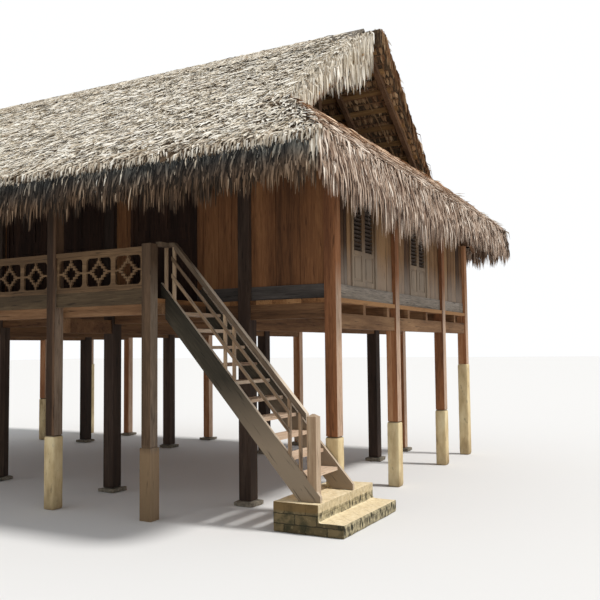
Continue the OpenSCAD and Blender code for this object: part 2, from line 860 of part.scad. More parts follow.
module gable_plates() {
    w = eave_plate_w / 2;
    reach = hip_y(-w) - hip_clear_y;
    color("#5a4433") both_gables() along_y(ridge_y - reach, ridge_y + reach) polygon([
        [-w, gable_plate_z], [w, gable_plate_z],
        [w, skirt_top_z(w, frame_drop)], [-w, skirt_top_z(-w, frame_drop)]
    ]);
}

// The beam under the ends of the wall plates, against which the skirt rafters lean
head_below = 20;
head_low = skirt_top_z(-skirt_in, frame_drop) - head_below;
module head_beams() {
    reach = ridge_y + plate_w / 2;
    color("#5a4433") both_gables() {
        block([roof_right, ridge_y - reach, head_low], [-skirt_in, ridge_y + reach, plate_z]);
    }
}

tie_over = 150;
module tie_beams() {
    color("#4b3a2e") for (x = column_xs) {
        block([x - plate_w / 2, -tie_over, tie_z], [x + plate_w / 2, room_depth + tie_over, plate_z]);
    }
}

ridge_top = main_z(ridge_y, frame_drop);
king_w = 90;
module king_posts() {
    color("#4b3a2e") for (x = column_xs) {
        block([x - king_w / 2, ridge_y - king_w / 2, plate_z],
            [x + king_w / 2, ridge_y + king_w / 2, ridge_top - ridge_pole_h]);
    }
}

ridge_pole_w = 120;
module ridge_pole() {
    w = ridge_pole_w / 2;
    color("#5a4433") along_x(roof_left, roof_right) translate([ridge_y, 0]) polygon([
        [-w, ridge_top - ridge_pole_h], [w, ridge_top - ridge_pole_h],
        [w, ridge_top - main_rise * w], [0, ridge_top], [-w, ridge_top - main_rise * w]
    ]);
}

rafter_count = 12;
// How far out the rafters end in steps of the roof, the hip rafters short of the round corners
rafter_end = 0.93;
hip_start = 0.06;
hip_end = 0.86;
// Places along the hip of the short rafters of a long side and of a skirt
main_jacks = [0.38, 0.68];
skirt_jacks = [0.35, 0.66];
// Gap between the heads of a pair of rafters
pair_gap = 0.3;
module main_rafters() {
    w = rafter_w / 2;
    span = roof_right - w - (roof_left + w);
    foot = step_y(rafter_end);
    jacks = [for (u = main_jacks) step_x(u)];
    color("#6b5138") {
        for (k = [0:rafter_count - 1], side = [-1, 1]) {
            x = roof_left + w + k * span / (rafter_count - 1);
            rafter(x, side, side == 1 ? pair_gap : 0, foot);
        }
        both_gables() for (x = jacks, side = [-1, 1]) rafter(x, side, hip_y(x + w) + hip_clear_y, foot);
    }
}

// A rafter on one long side, from and to these distances from the ridge line
module rafter(x, side, from, to) {
    y_0 = ridge_y + side * from;
    y_1 = ridge_y + side * to;
    along_x(x - rafter_w / 2, x + rafter_w / 2) polygon([
        [y_0, main_z(y_0, rafter_drop)], [y_1, main_z(y_1, rafter_drop)],
        [y_1, main_z(y_1, frame_drop)], [y_0, main_z(y_0, frame_drop)]
    ]);
}

module hip_rafters() {
    run = norm([skirt_run, hip_run]);
    from = hip_start;
    to = hip_end;
    sink = batten_v;
    high = rafter_drop + sink;
    low = frame_drop + sink;
    color("#6b5138") both_gables() for (side = [-1, 1]) {
        translate([-skirt_in, ridge_y + side * gable_half, 0]) {
            rotate([0, 0, atan2(side * hip_run, skirt_run)]) along_y(-hip_w / 2, hip_w / 2) polygon([
                [from * run, slope_z(from) - high], [to * run, slope_z(to) - high],
                [to * run, slope_z(to) - low], [from * run, slope_z(from) - low]
            ]);
        }
    }
}

skirt_rafter_count = 8;
// Distance of the outermost full skirt rafters from the head of the hip
hip_gap = 120;
module skirt_rafters() {
    w = rafter_w / 2;
    reach = gable_half - hip_gap;
    color("#6b5138") both_gables() {
        for (k = [0:skirt_rafter_count - 1]) {
            skirt_rafter(ridge_y - reach + 2 * reach * k / (skirt_rafter_count - 1), -skirt_in);
        }
        for (side = [-1, 1], u = skirt_jacks) {
            skirt_rafter(ridge_y + side * step_y(u), hip_x(ridge_y + step_y(u) + w) + hip_clear);
        }
    }
}

module skirt_rafter(y, from) {
    to = step_x(rafter_end);
    along_y(y - rafter_w / 2, y + rafter_w / 2) polygon([
        [from, skirt_top_z(from, rafter_drop)], [to, skirt_top_z(to, rafter_drop)],
        [to, skirt_top_z(to, frame_drop)], [from, skirt_top_z(from, frame_drop)]
    ]);
}

// Distance of the first batten from the ridge line, and of the batten ends from the hips
batten_from = 60;
batten_short = 10;
skirt_battens = [0.08:0.25:0.85];
module roof_battens() {
    count = floor(step_y(rafter_end) / batten_pitch);
    color("#7a6040") {
        for (k = [0:count - 1], side = [-1, 1]) main_batten(side, batten_from + k * batten_pitch);
        both_gables() for (u = skirt_battens) {
            x = step_x(u);
            y = hip_y(x) - batten_short;
            along_y(ridge_y - y, ridge_y + y) polygon([
                [x, skirt_top_z(x, batten_drop)], [x + batten_w, skirt_top_z(x + batten_w, batten_drop)],
                [x + batten_w, skirt_top_z(x + batten_w, rafter_drop)], [x, skirt_top_z(x, rafter_drop)]
            ]);
        }
    }
}

module main_batten(side, from) {
    y_0 = ridge_y + side * from;
    y_1 = y_0 + side * batten_w;
    x = (from < gable_half ? -skirt_in : hip_x(y_0)) - batten_short;
    along_x(-house_len - x, x) polygon([
        [y_0, main_z(y_0, batten_drop)], [y_1, main_z(y_1, batten_drop)],
        [y_1, main_z(y_1, rafter_drop)], [y_0, main_z(y_0, rafter_drop)]
    ]);
}

// The eave in steps of the roof: the bend of the slope, the end of the slab, the brow, the leaf tips and
// a place beyond them
bend = 0.92;
slab_end = 0.97;
brow = 1.05;
tip = 1.07;
far = 1.17;
// Heights of the eave edge and of the brow below the eave line
edge_fall = 35;
brow_fall = 260;

// Courses of leaves, each rising evenly from the slope to its butt
function courses(from, to, count) = [for (k = [0:count - 1]) each let (run = (to - from) / count) [
    [from + k * run, slope_z(from + k * run)],
    [from + (k + 1) * run, slope_z(from + (k + 1) * run) + course_butt]
]];
function eave_line(drop) = [[1, eave_z - edge_fall], [brow, eave_z - brow_fall], [tip, eave_z - drop]];
// The section of the slab, from these courses on, without its inner edge at the ridge or the head
function slab_section(lines) = concat(
    lines, [[1, eave_z - edge_fall], [brow, eave_z - brow_fall], [slab_end, slope_z(slab_end) - thatch_v]]
);
// The section under which the fringe hangs, from the middle of the slab out to the tips
fringe_from = 0.8;
function fringe_section(drop) = concat(
    [[fringe_from, eave_z - drop], [fringe_from, slope_z(fringe_from) - thatch_v / 2]],
    [[bend, slope_z(bend) + course_butt]], eave_line(drop)
);
function along_side(side, points) = [for (p = points) [ridge_y + side * step_y(p[0]), p[1]]];
function along_skirt(points) = [for (p = points) [step_x(p[0]), p[1]]];

// The roof in plan out to the tips less an inset, with round corners
module roof_plan(inset) {
    half_x = house_len / 2 + step_x(tip) - inset;
    half_y = step_y(tip) - inset;
    r = eave_round - inset;
    translate([mid_x, ridge_y]) {
        square([2 * (half_x - r), 2 * half_y], center = true);
        square([2 * half_x, 2 * (half_y - r)], center = true);
        for (x = [r - half_x, half_x - r], y = [r - half_y, half_y - r]) {
            translate([x, y]) circle(r, $fn = 48);
        }
    }
}

// A sheet of thatch from its slab and the body that holds its fringe, both cut to the round corners
module thatch_sheet() {
    intersection() {
        linear_extrude(ridge_z + course_butt) roof_plan(0);
        children(0);
    }
    intersection() {
        linear_extrude(ridge_z) difference() {
            roof_plan(0);
            roof_plan(fringe_t);
        }
        children(1);
    }
}

// How far the verges reach past the head of the skirt: the front one is torn back, the rear one is whole
front_verge = -150;
rear_verge = 100;

// The roof side seen in plan, with its verges above the skirts and its hips below
tuck_up = 0.3;
plan_spare = 50;
module thatch_side(side, verge) {
    head = ridge_y + side * gable_half;
    tuck = ridge_y + side * step_y(-tuck_up);
    half = house_len / 2;
    reach = step_x(tip) + plan_spare;
    edge = [
        [half + verge, ridge_y], [half - skirt_in + min(verge + skirt_in, 0), tuck], [half - skirt_in, head],
        [half + step_x(far), ridge_y + side * step_y(far)]
    ];
    under = [[ridge_y, ridge_z - thatch_v], [ridge_y, ridge_z]];
    top = concat(courses((cap_w - gable_half) / hip_run, 0, upper_courses), courses(0, bend, lower_courses));
    intersection() {
        thatch_sheet() {
            along_x(-house_len - reach, reach) polygon(concat(under, along_side(side, slab_section(top))));
            along_x(-house_len - reach, reach) polygon(along_side(side, fringe_section(fringe_drop)));
        }
        translate([mid_x, 0, 0]) linear_extrude(ridge_z + course_butt) polygon(concat(
            edge, [for (k = [len(edge) - 1:-1:0]) [-edge[k][0], edge[k][1]]]
        ));
    }
}

module thatch_front() {
    color("#b3a084") thatch_side(-1, -skirt_in + front_verge);
}

module thatch_rear() {
    color("#b3a084") thatch_side(1, -skirt_in + rear_verge);
}

module thatch_skirts() {
    reach = step_y(tip) + plan_spare;
    under = [[step_x(0), skirt_z - thatch_v]];
    color("#a58d6c") both_gables() intersection() {
        thatch_sheet() {
            along_y(ridge_y - reach, ridge_y + reach) polygon(concat(
                under, along_skirt(slab_section(courses(0, bend, lower_courses)))
            ));
            along_y(ridge_y - reach, ridge_y + reach) polygon(
                along_skirt(fringe_section(skirt_fringe_drop))
            );
        }
        linear_extrude(ridge_z) polygon([
            [step_x(0), ridge_y - gable_half], [step_x(far), ridge_y - step_y(far)],
            [step_x(far), ridge_y + step_y(far)], [step_x(0), ridge_y + gable_half]
        ]);
    }
}

module ridge_boards() {
    rise = cap_t / cos(main_pitch);
    edge_z = ridge_z - main_rise * cap_w;
    x = -skirt_in + front_verge;
    color("#6f675c") along_x(-house_len - x, x) translate([ridge_y, 0]) polygon([
        [0, ridge_z], [cap_w, edge_z], [cap_w, edge_z + rise],
        [0, ridge_z + rise], [-cap_w, edge_z + rise], [-cap_w, edge_z]
    ]);
}

masonry_steps();
post_plinths();
footing_stones();
gable_posts();
main_columns();
rear_wall_posts();
porch_posts();
landing_posts();
long_floor_beams();
cross_floor_beams();
floor_joists();
porch_beams();
floor_deck();
porch_deck();
porch_band_board();
sill_boards();
front_wall();
front_wall_over_doors();
gable_walls();
gable_walls_over_windows();
rear_wall();
rear_wall_over_windows();
door_frames();
door_leaves();
window_frames();
window_shutters();
railing_rails();
railing_fretwork();
stair_stringers();
stair_treads();
stair_newel();
stair_handrail();
stair_mid_rails();
stair_balusters();
wall_plates();
eave_plates();
gable_plates();
head_beams();
tie_beams();
king_posts();
ridge_pole();
main_rafters();
hip_rafters();
skirt_rafters();
roof_battens();
thatch_front();
thatch_rear();
thatch_skirts();
ridge_boards();
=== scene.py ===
import math

import bpy
import numpy as np
from mathutils import Matrix, Vector


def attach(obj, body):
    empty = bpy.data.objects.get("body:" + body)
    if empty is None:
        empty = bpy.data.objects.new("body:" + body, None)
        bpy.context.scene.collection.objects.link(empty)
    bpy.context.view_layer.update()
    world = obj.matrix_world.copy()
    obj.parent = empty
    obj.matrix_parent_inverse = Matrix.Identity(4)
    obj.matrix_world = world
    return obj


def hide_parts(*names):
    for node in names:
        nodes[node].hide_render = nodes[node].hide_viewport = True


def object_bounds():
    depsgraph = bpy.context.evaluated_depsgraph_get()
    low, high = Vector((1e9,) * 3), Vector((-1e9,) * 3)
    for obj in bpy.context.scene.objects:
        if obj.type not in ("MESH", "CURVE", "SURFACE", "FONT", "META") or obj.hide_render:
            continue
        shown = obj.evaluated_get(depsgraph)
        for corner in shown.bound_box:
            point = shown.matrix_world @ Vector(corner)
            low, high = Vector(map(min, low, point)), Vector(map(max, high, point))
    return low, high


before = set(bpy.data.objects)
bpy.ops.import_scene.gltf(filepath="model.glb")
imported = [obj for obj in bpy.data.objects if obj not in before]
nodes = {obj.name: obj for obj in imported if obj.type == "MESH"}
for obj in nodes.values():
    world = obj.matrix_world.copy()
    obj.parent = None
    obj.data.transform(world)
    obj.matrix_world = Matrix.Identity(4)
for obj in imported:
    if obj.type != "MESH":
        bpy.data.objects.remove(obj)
cad_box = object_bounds()

# Camera, floor and light
# The picture is taken from eye height near the foot of the stair, looking slightly up. A large pale floor
# and a white surround carry the house, and one soft high lamp at the gable side is the sun.
eye = Vector((3.620, -7.620, 1.800))
turn, tilt, roll = 27.872, 3.579, -0.634
photo_focal = 765.2
photo_side = 600.0

camera_data = bpy.data.cameras.new("photo camera")
camera_data.sensor_width = 36.0
camera_data.lens = camera_data.sensor_width * photo_focal / photo_side
camera_data.clip_end = 300.0
camera = bpy.data.objects.new("photo camera", camera_data)
bpy.context.scene.collection.objects.link(camera)
camera.matrix_world = (
    Matrix.Translation(eye)
    @ Matrix.Rotation(math.radians(turn), 4, "Z")
    @ Matrix.Rotation(math.radians(90.0 + tilt), 4, "X")
    @ Matrix.Rotation(math.radians(roll), 4, "Z")
)
bpy.context.scene.camera = camera
bpy.context.scene.view_settings.view_transform = "Standard"


def srgb(red, green, blue):
    """A colour as it is seen on a screen, 0 to 255, as the linear colour that a shader takes."""
    seen = np.array([red, green, blue]) / 255.0
    linear = np.where(seen <= 0.04045, seen / 12.92, ((seen + 0.055) / 1.055) ** 2.4)
    return (*linear.tolist(), 1.0)


class Value:
    """A number or colour that changes over the surface, so that shader maths reads as arithmetic."""

    def __init__(self, finish, socket):
        self.finish = finish
        self.socket = socket

    def math(self, operation, first, second):
        return self.finish.node("ShaderNodeMath", {0: first, 1: second}, operation=operation)

    def __add__(self, other):
        return self.math("ADD", self, other)

    def __radd__(self, other):
        return self.math("ADD", other, self)

    def __sub__(self, other):
        return self.math("SUBTRACT", self, other)

    def __rsub__(self, other):
        return self.math("SUBTRACT", other, self)

    def __mul__(self, other):
        return self.math("MULTIPLY", self, other)

    def __rmul__(self, other):
        return self.math("MULTIPLY", other, self)


class Finish:
    """One material. Every node in it is made by node(), and show() hands the result to the shader."""

    def __init__(self, name, roughness=0.85):
        self.material = bpy.data.materials.new(name)
        self.material.use_nodes = True
        self.tree = self.material.node_tree
        self.shader = self.tree.nodes["Principled BSDF"]
        self.shader.inputs["Roughness"].default_value = roughness
        self.shader.inputs["Specular IOR Level"].default_value = 0.25
        self.place = self.node("ShaderNodeTexCoord", out="Object")
        self.upright = self.place

    def node(self, kind, sockets=(), out=0, stops=None, **settings):
        """One node: its settings, a ramp's stops, and the values or links of its sockets."""
        made = self.tree.nodes.new(kind)
        for setting, value in settings.items():
            setattr(made, setting, value)
        if stops:
            ramp = made.color_ramp.elements
            while len(ramp) < len(stops):
                ramp.new(0.5)
            for element, (position, colour) in zip(ramp, stops):
                element.position = position
                element.color = colour
        for key, value in dict(sockets).items():
            if isinstance(value, Value):
                self.tree.links.new(value.socket, made.inputs[key])
            else:
                made.inputs[key].default_value = value
        return Value(self, made.outputs[out])

    def stretched(self, scale, stretch=(1.0, 1.0, 1.0), detail=4.0, rough=0.6, warp=0.0):
        """Noise whose spots are pulled long where the stretch is small."""
        place = self.node("ShaderNodeMapping", {"Vector": self.place, "Scale": stretch})
        sockets = {"Vector": place, "Scale": scale, "Detail": detail, "Roughness": rough, "Distortion": warp}
        return self.node("ShaderNodeTexNoise", sockets)

    def fade(self, value, low, high):
        """0 below the low value, 1 above the high one."""
        return self.node("ShaderNodeMapRange", {"Value": value, "From Min": low, "From Max": high})

    def mix(self, factor, first, second, blend="MIX"):
        """The second colour over the first. Sockets 6 and 7 and output 2 of the node are the ones for
        colours."""
        sockets = {0: factor, 6: first, 7: second}
        return self.node("ShaderNodeMix", sockets, out=2, data_type="RGBA", blend_type=blend)

    def ramp(self, value, *stops):
        return self.node("ShaderNodeValToRGB", {"Fac": value}, stops=stops)

    def axis(self, name, of=None):
        """The place along one axis, or that part of another vector."""
        return self.node("ShaderNodeSeparateXYZ", {"Vector": of or self.place}, out=name)

    def facing(self, name):
        """How far the surface faces along one axis."""
        return self.axis(name, self.node("ShaderNodeNewGeometry", out="Normal"))

    def show(self, colour, relief=None, depth=0.002, strength=0.6):
        """Gives the shader its colour and, as a bump, its relief."""
        self.tree.links.new(colour.socket, self.shader.inputs["Base Color"])
        if relief:
            sockets = {"Height": relief, "Distance": depth, "Strength": strength}
            bump = self.node("ShaderNodeBump", sockets, out="Normal")
            self.tree.links.new(bump.socket, self.shader.inputs["Normal"])
        return self

    def on(self, *names):
        """Puts this finish on CAD nodes."""
        for name in names:
            nodes[name].data.materials.clear()
            nodes[name].data.materials.append(self.material)


pale = 0.82
floor_finish = Finish("studio floor", roughness=1.0)
floor_tone = floor_finish.stretched(0.5)
floor_finish.show(
    floor_finish.ramp(floor_tone, (0.0, (pale, pale, pale, 1)), (1.0, (pale, pale, pale * 0.99, 1)))
)
bpy.ops.object.select_all(action="DESELECT")
bpy.ops.mesh.primitive_plane_add(size=240.0, location=(0.0, 0.0, -0.001))
studio_floor = bpy.context.object
studio_floor.name = "studio floor"
studio_floor.data.materials.append(floor_finish.material)

light_on_house = 0.52
white_behind = 1.03
world = bpy.data.worlds.new("white surround")
world.use_nodes = True
bpy.context.scene.world = world
background = world.node_tree.nodes["Background"]
background.inputs["Color"].default_value = (0.97, 0.985, 1.0, 1.0)
rays = world.node_tree.nodes.new("ShaderNodeLightPath")
strength = world.node_tree.nodes.new("ShaderNodeMapRange")
strength.inputs["To Min"].default_value = light_on_house
strength.inputs["To Max"].default_value = white_behind
world.node_tree.links.new(rays.outputs["Is Camera Ray"], strength.inputs["Value"])
world.node_tree.links.new(strength.outputs["Result"], background.inputs["Strength"])

to_sun = Vector((0.52, 0.10, 0.85))
sun_data = bpy.data.lights.new("soft high lamp", "SUN")
sun_data.energy = 2.5
sun_data.angle = math.radians(8.0)
sun_data.color = (1.0, 0.975, 0.94)
sun = bpy.data.objects.new("soft high lamp", sun_data)
bpy.context.scene.collection.objects.link(sun)
sun.rotation_euler = to_sun.to_track_quat("Z", "Y").to_euler()

# Masonry steps, plinths and footing stones
# The stair starts on a block of laid hollow brick under a trodden sandy screed, and its sides are dark with
# moss. Where the screed turns down the front it is darker as painted shade, and the holes of the hollow
# bricks are near black, partly moss and partly painted shade. The posts stand in cast plinths painted cream,
# and the inner columns on flat field stones.
upward = (0.0, 0.0, 1.0)
just_off_ground = (0.0, 0.0, 0.003)


def merged_copy(node, name):
    """A copy of a CAD node with its loose triangles joined, left selected and in edit mode."""
    bpy.ops.object.select_all(action="DESELECT")
    piece = bpy.data.objects.new(name, nodes[node].data.copy())
    bpy.context.scene.collection.objects.link(piece)
    bpy.context.view_layer.objects.active = piece
    piece.select_set(True)
    bpy.ops.object.mode_set(mode="EDIT")
    bpy.ops.mesh.select_all(action="SELECT")
    bpy.ops.mesh.remove_doubles(threshold=0.0005)
    return piece


def weathered_copy(node, name, finish, grain, wear, lump):
    """CAD masonry with its corners knocked round and its faces uneven, cut flat where it stands. grain is
    the size of its new faces, wear how deep the unevenness is and lump how broad."""
    piece = merged_copy(node, name)
    bpy.ops.object.mode_set(mode="OBJECT")
    remesh = piece.modifiers.new("even grain", "REMESH")
    remesh.mode = "VOXEL"
    remesh.voxel_size = grain
    bpy.ops.object.modifier_apply(modifier=remesh.name)
    clouds = bpy.data.textures.new(name + " wear", "CLOUDS")
    clouds.noise_scale = lump
    push = piece.modifiers.new("wear", "DISPLACE")
    push.texture = clouds
    push.strength = wear
    push.mid_level = 0.75
    bpy.ops.object.modifier_apply(modifier=push.name)
    bpy.ops.object.mode_set(mode="EDIT")
    bpy.ops.mesh.select_all(action="SELECT")
    bpy.ops.mesh.bisect(plane_co=just_off_ground, plane_no=upward, use_fill=True, clear_inner=True)
    bpy.ops.object.mode_set(mode="OBJECT")
    bpy.ops.object.shade_smooth_by_angle(angle=math.radians(35.0))
    piece.data.materials.clear()
    piece.data.materials.append(finish.material)
    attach(piece, "root")
    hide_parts(node)
    return piece


block_top = 0.297
screed = 0.075
brick = Finish("hollow brick block", roughness=0.95)
facing_up = brick.fade(brick.facing("Z"), 0.5, 0.8)
facing_right = brick.fade(brick.facing("X"), 0.5, 0.8)
height = brick.axis("Z")
rough = brick.stretched(26.0, detail=8.0)
grime = brick.stretched(7.0, detail=6.0)
wander = brick.node("ShaderNodeVectorMath", {0: brick.place, 1: rough * 0.012}, operation="ADD")
face_along = brick.axis("X") + brick.axis("Y") + rough * 0.04
face = brick.node("ShaderNodeCombineXYZ", {"X": face_along, "Y": height + rough * 0.024})
laid = {
    "Vector": face,
    "Color1": srgb(122, 106, 76),
    "Color2": srgb(90, 78, 54),
    "Mortar": srgb(60, 54, 40),
    "Scale": 1.0,
    "Mortar Size": 0.007,
    "Mortar Smooth": 0.8,
    "Brick Width": 0.235,
    "Row Height": 0.099,
}
front = brick.node("ShaderNodeTexBrick", laid)
joint = brick.node("ShaderNodeTexBrick", laid, out="Fac")
front = brick.mix(brick.fade(grime, 0.44, 0.62) * 0.75, front, srgb(50, 51, 36))
front = brick.mix(brick.fade(rough, 0.6, 0.74) * 0.5, front, srgb(166, 150, 112))
spread = {"Vector": wander, "Scale": (20.0, 24.0, 11.0), "Location": (0.0, 0.0, 0.4)}
cells = {"Vector": brick.node("ShaderNodeMapping", spread), "Scale": 1.0, "Randomness": 0.55}
hollow = brick.node("ShaderNodeTexVoronoi", cells, out="Distance")
# The holes of the hollow bricks are painted near black, partly moss and partly painted shade inside the
# holes.
pit = brick.fade(hollow, 0.5, 0.26) * brick.fade(grime, 0.28, 0.42)
ends = brick.ramp(rough, (0.3, srgb(122, 114, 92)), (0.55, srgb(178, 166, 134)), (0.8, srgb(214, 202, 170)))
ends = brick.mix(pit * 0.92, ends, srgb(32, 31, 24))
side = brick.mix(facing_right, front, ends)
sand = brick.ramp(
    rough, (0.3, srgb(220, 200, 160)), (0.55, srgb(244, 226, 188)), (0.75, srgb(252, 240, 212))
)
sand = brick.mix(brick.fade(brick.stretched(4.0), 0.5, 0.75) * 0.22, sand, srgb(198, 174, 136))
on_screed = brick.fade(height + rough * 0.03, block_top - screed, block_top - screed + 0.012)
# Painted shade: where the screed turns down the front faces it is dark brown, and only on the end faces is
# it sand.
front_screed_in_shade = brick.mix(grime, srgb(134, 106, 66), srgb(88, 72, 46))
end_screed = brick.mix(grime * 0.6, sand, srgb(128, 112, 84))
side = brick.mix(on_screed * 0.8, side, brick.mix(facing_right, front_screed_in_shade, end_screed))
buried = (pit * facing_right + joint * 0.5) * (1.0 - on_screed)
brick.show(brick.mix(facing_up, side, sand), rough - buried, depth=0.012, strength=0.8)
weathered_copy("masonry_steps", "stair_foot_masonry", brick, grain=0.014, wear=0.012, lump=0.12)

joint_low, joint_high = 0.815, 0.850
tall_plinths_from = 4.5
plinth_paint = Finish("cream plinth paint", roughness=0.8)
stain = plinth_paint.stretched(7.0, (1.0, 1.0, 0.35), detail=7.0)
height = plinth_paint.axis("Z")
cream = plinth_paint.ramp(
    stain,
    (0.26, srgb(150, 126, 92)),
    (0.4, srgb(204, 180, 136)),
    (0.58, srgb(226, 206, 162)),
    (0.8, srgb(240, 226, 190)),
)
splash = plinth_paint.fade(height + stain * 0.3, 0.42, 0.12)
cream = plinth_paint.mix(splash * 0.7, cream, srgb(140, 118, 88))
flake = plinth_paint.fade(plinth_paint.stretched(16.0, (1.0, 1.0, 0.4), detail=8.0), 0.6, 0.66)
cream = plinth_paint.mix(flake * 0.55, cream, srgb(146, 128, 100))
joint_line = plinth_paint.fade(height, joint_low, joint_low + 0.01)
joint_line = joint_line * plinth_paint.fade(height, joint_high, joint_high - 0.01)
low_plinths = plinth_paint.fade(plinth_paint.axis("Y"), tall_plinths_from + 0.1, tall_plinths_from)
cream = plinth_paint.mix(joint_line * low_plinths * 0.8, cream, srgb(74, 54, 40))
plinth_paint.show(cream, plinth_paint.stretched(45.0, detail=6.0) - flake, depth=0.003)
weathered_copy(
    "post_plinths", "painted_post_plinths", plinth_paint,
    grain=0.022, wear=0.006, lump=0.15,
)

field_stone = Finish("field stone", roughness=0.95)
grit = field_stone.stretched(30.0, detail=8.0)
stone = field_stone.ramp(
    grit, (0.3, srgb(92, 86, 76)), (0.6, srgb(140, 132, 118)), (0.8, srgb(176, 168, 150))
)
field_stone.show(stone, grit, depth=0.008)
weathered_copy(
    "footing_stones", "flat_footing_stones", field_stone,
    grain=0.016, wear=0.035, lump=0.16,
)

# Posts
# Squared hardwood posts: reddish brown where they stand in the open, scraped and checked. The posts under
# the porch roof and at the landing get darker copies of the timber, and the columns inside near black ones,
# as painted shade. They are tenoned into the beams, and the faces towards the sun are painted pale as
# painted sunlight.
grain_along = {
    "X": (0.07, 1.0, 1.0),
    "Y": (1.0, 0.07, 1.0),
    "Z": (1.0, 1.0, 0.07),
    "level": (0.07, 0.07, 1.0),
}
# Heights between which painted sunlight on the faces towards the sun gives way to the painted shadow of the
# roof.
sunlit_up_to = 2.35
roof_shadow_from = 2.75


def timber(
    name, dark, main, light, along, cell=None, vary=0.2, sunlit_pale=0.0, foot=None, tinted=False, lean=0.0,
    slat_shade=None,
):
    """Sawn timber with its grain along one axis, or leaning from it by an angle on the front of the house.

    Pieces in other cells, or with their own tint, differ in tone by vary. sunlit_pale is how strongly the
    faces towards the sun and the sky are painted pale as painted sunlight, up to a little above the floor,
    where the painted shadow of the roof begins. foot gives the height up to which the lower end is paler,
    the height where that has faded out, and the pale colour. slat_shade is the colour of the tilted faces
    of louvres, painted dark as the shade between the slats.
    """
    wood = Finish(name, 0.82)
    if lean:
        wood.place = wood.node("ShaderNodeMapping", {"Vector": wood.place, "Rotation": (0.0, lean, 0.0)})
    broad = wood.stretched(6.0, grain_along[along], detail=3.0, warp=0.4)
    fibre = wood.stretched(70.0, grain_along[along], detail=6.0, rough=0.7)
    tone = broad * 0.6 + fibre * 0.4
    if tinted:
        tone = tone + (wood.node("ShaderNodeAttribute", out="Fac", attribute_name="tint") - 0.5) * vary
    elif cell:
        snapped = wood.node("ShaderNodeVectorMath", {0: wood.place, 1: cell}, operation="SNAP")
        piece = wood.node("ShaderNodeTexWhiteNoise", {"Vector": snapped}, out="Value", noise_dimensions="3D")
        tone = tone + (piece - 0.5) * vary
    colour = wood.ramp(tone, (0.3, dark), (0.5, main), (0.7, light))
    # Painted sunlight: faces towards the sun and the sky are mixed towards a pale colour, broken by the
    # grain, only below the painted shadow of the roof.
    if sunlit_pale:
        right = wood.fade(wood.facing("X"), 0.5, 0.9)
        up = wood.fade(wood.facing("Z"), 0.3, 0.8)
        grain_spread = wood.fade(fibre + broad * 0.5, 0.5, 0.9)
        low = wood.fade(wood.axis("Z", wood.upright), roof_shadow_from, sunlit_up_to)
        colour = wood.mix((right + up) * (0.4 + grain_spread) * low * sunlit_pale, colour, srgb(212, 196, 176))
    if foot:
        pale_up_to, faded_from, foot_colour = foot
        height = wood.axis("Z", wood.upright) + (broad - 0.5) * 0.25
        colour = wood.mix(wood.fade(height, faded_from, pale_up_to) * 0.6, colour, foot_colour)
    # Painted shade: the tilted faces of the louvre slats are darkened, as the shade between the slats.
    if slat_shade:
        tipped = wood.node("ShaderNodeMath", {0: wood.facing("Z")}, operation="ABSOLUTE")
        colour = wood.mix(wood.fade(tipped, 0.25, 0.4) * wood.fade(tipped, 0.97, 0.9), colour, slat_shade)
    crack = wood.fade(wood.stretched(46.0, grain_along[along], detail=2.0, warp=0.2), 0.62, 0.7)
    colour = wood.mix(crack * 0.6, colour, (*(part * 0.3 for part in dark[:3]), 1.0))
    wood.show(colour, fibre - crack * 0.8, depth=0.003, strength=0.7)
    return wood


each_post = (1.0, 1.0, 100.0)
timber(
    "open air posts", srgb(108, 69, 45), srgb(162, 109, 72), srgb(200, 154, 116), "Z", each_post, sunlit_pale=0.45
).on("gable_posts", "rear_wall_posts")
# The porch posts, the landing posts and the inner columns are darker copies of the post timber: painted
# shade.
timber(
    "porch posts", srgb(50, 36, 26), srgb(82, 60, 43), srgb(120, 92, 69), "Z", each_post, sunlit_pale=0.2
).on("porch_posts")
timber(
    "low porch posts", srgb(52, 40, 30), srgb(86, 67, 50), srgb(124, 99, 76), "Z", sunlit_pale=0.2,
    foot=(0.70, 0.80, srgb(160, 134, 102)),
).on("landing_posts")
timber(
    "inner columns", srgb(38, 29, 24), srgb(64, 50, 42), srgb(94, 78, 66), "Z", each_post
).on("main_columns")

# Floor frame and floor boards
# Beams are tenoned between the posts and joists run along the house on them, all of sawn brown timber that
# keeps its warm tone, because no rain reaches it. The boards lie across the joists, each a little off its
# neighbours.
each_long_beam = (100.0, 0.8, 100.0)
each_cross_beam = (1.0, 100.0, 100.0)
timber(
    "beams along", srgb(76, 52, 35), srgb(122, 89, 61), srgb(158, 123, 90), "X", each_long_beam
).on("long_floor_beams", "floor_joists", "porch_beams")
timber(
    "beams across", srgb(76, 52, 35), srgb(120, 88, 60), srgb(156, 122, 88), "Y", each_cross_beam
).on("cross_floor_beams")

worn_edge = 0.003


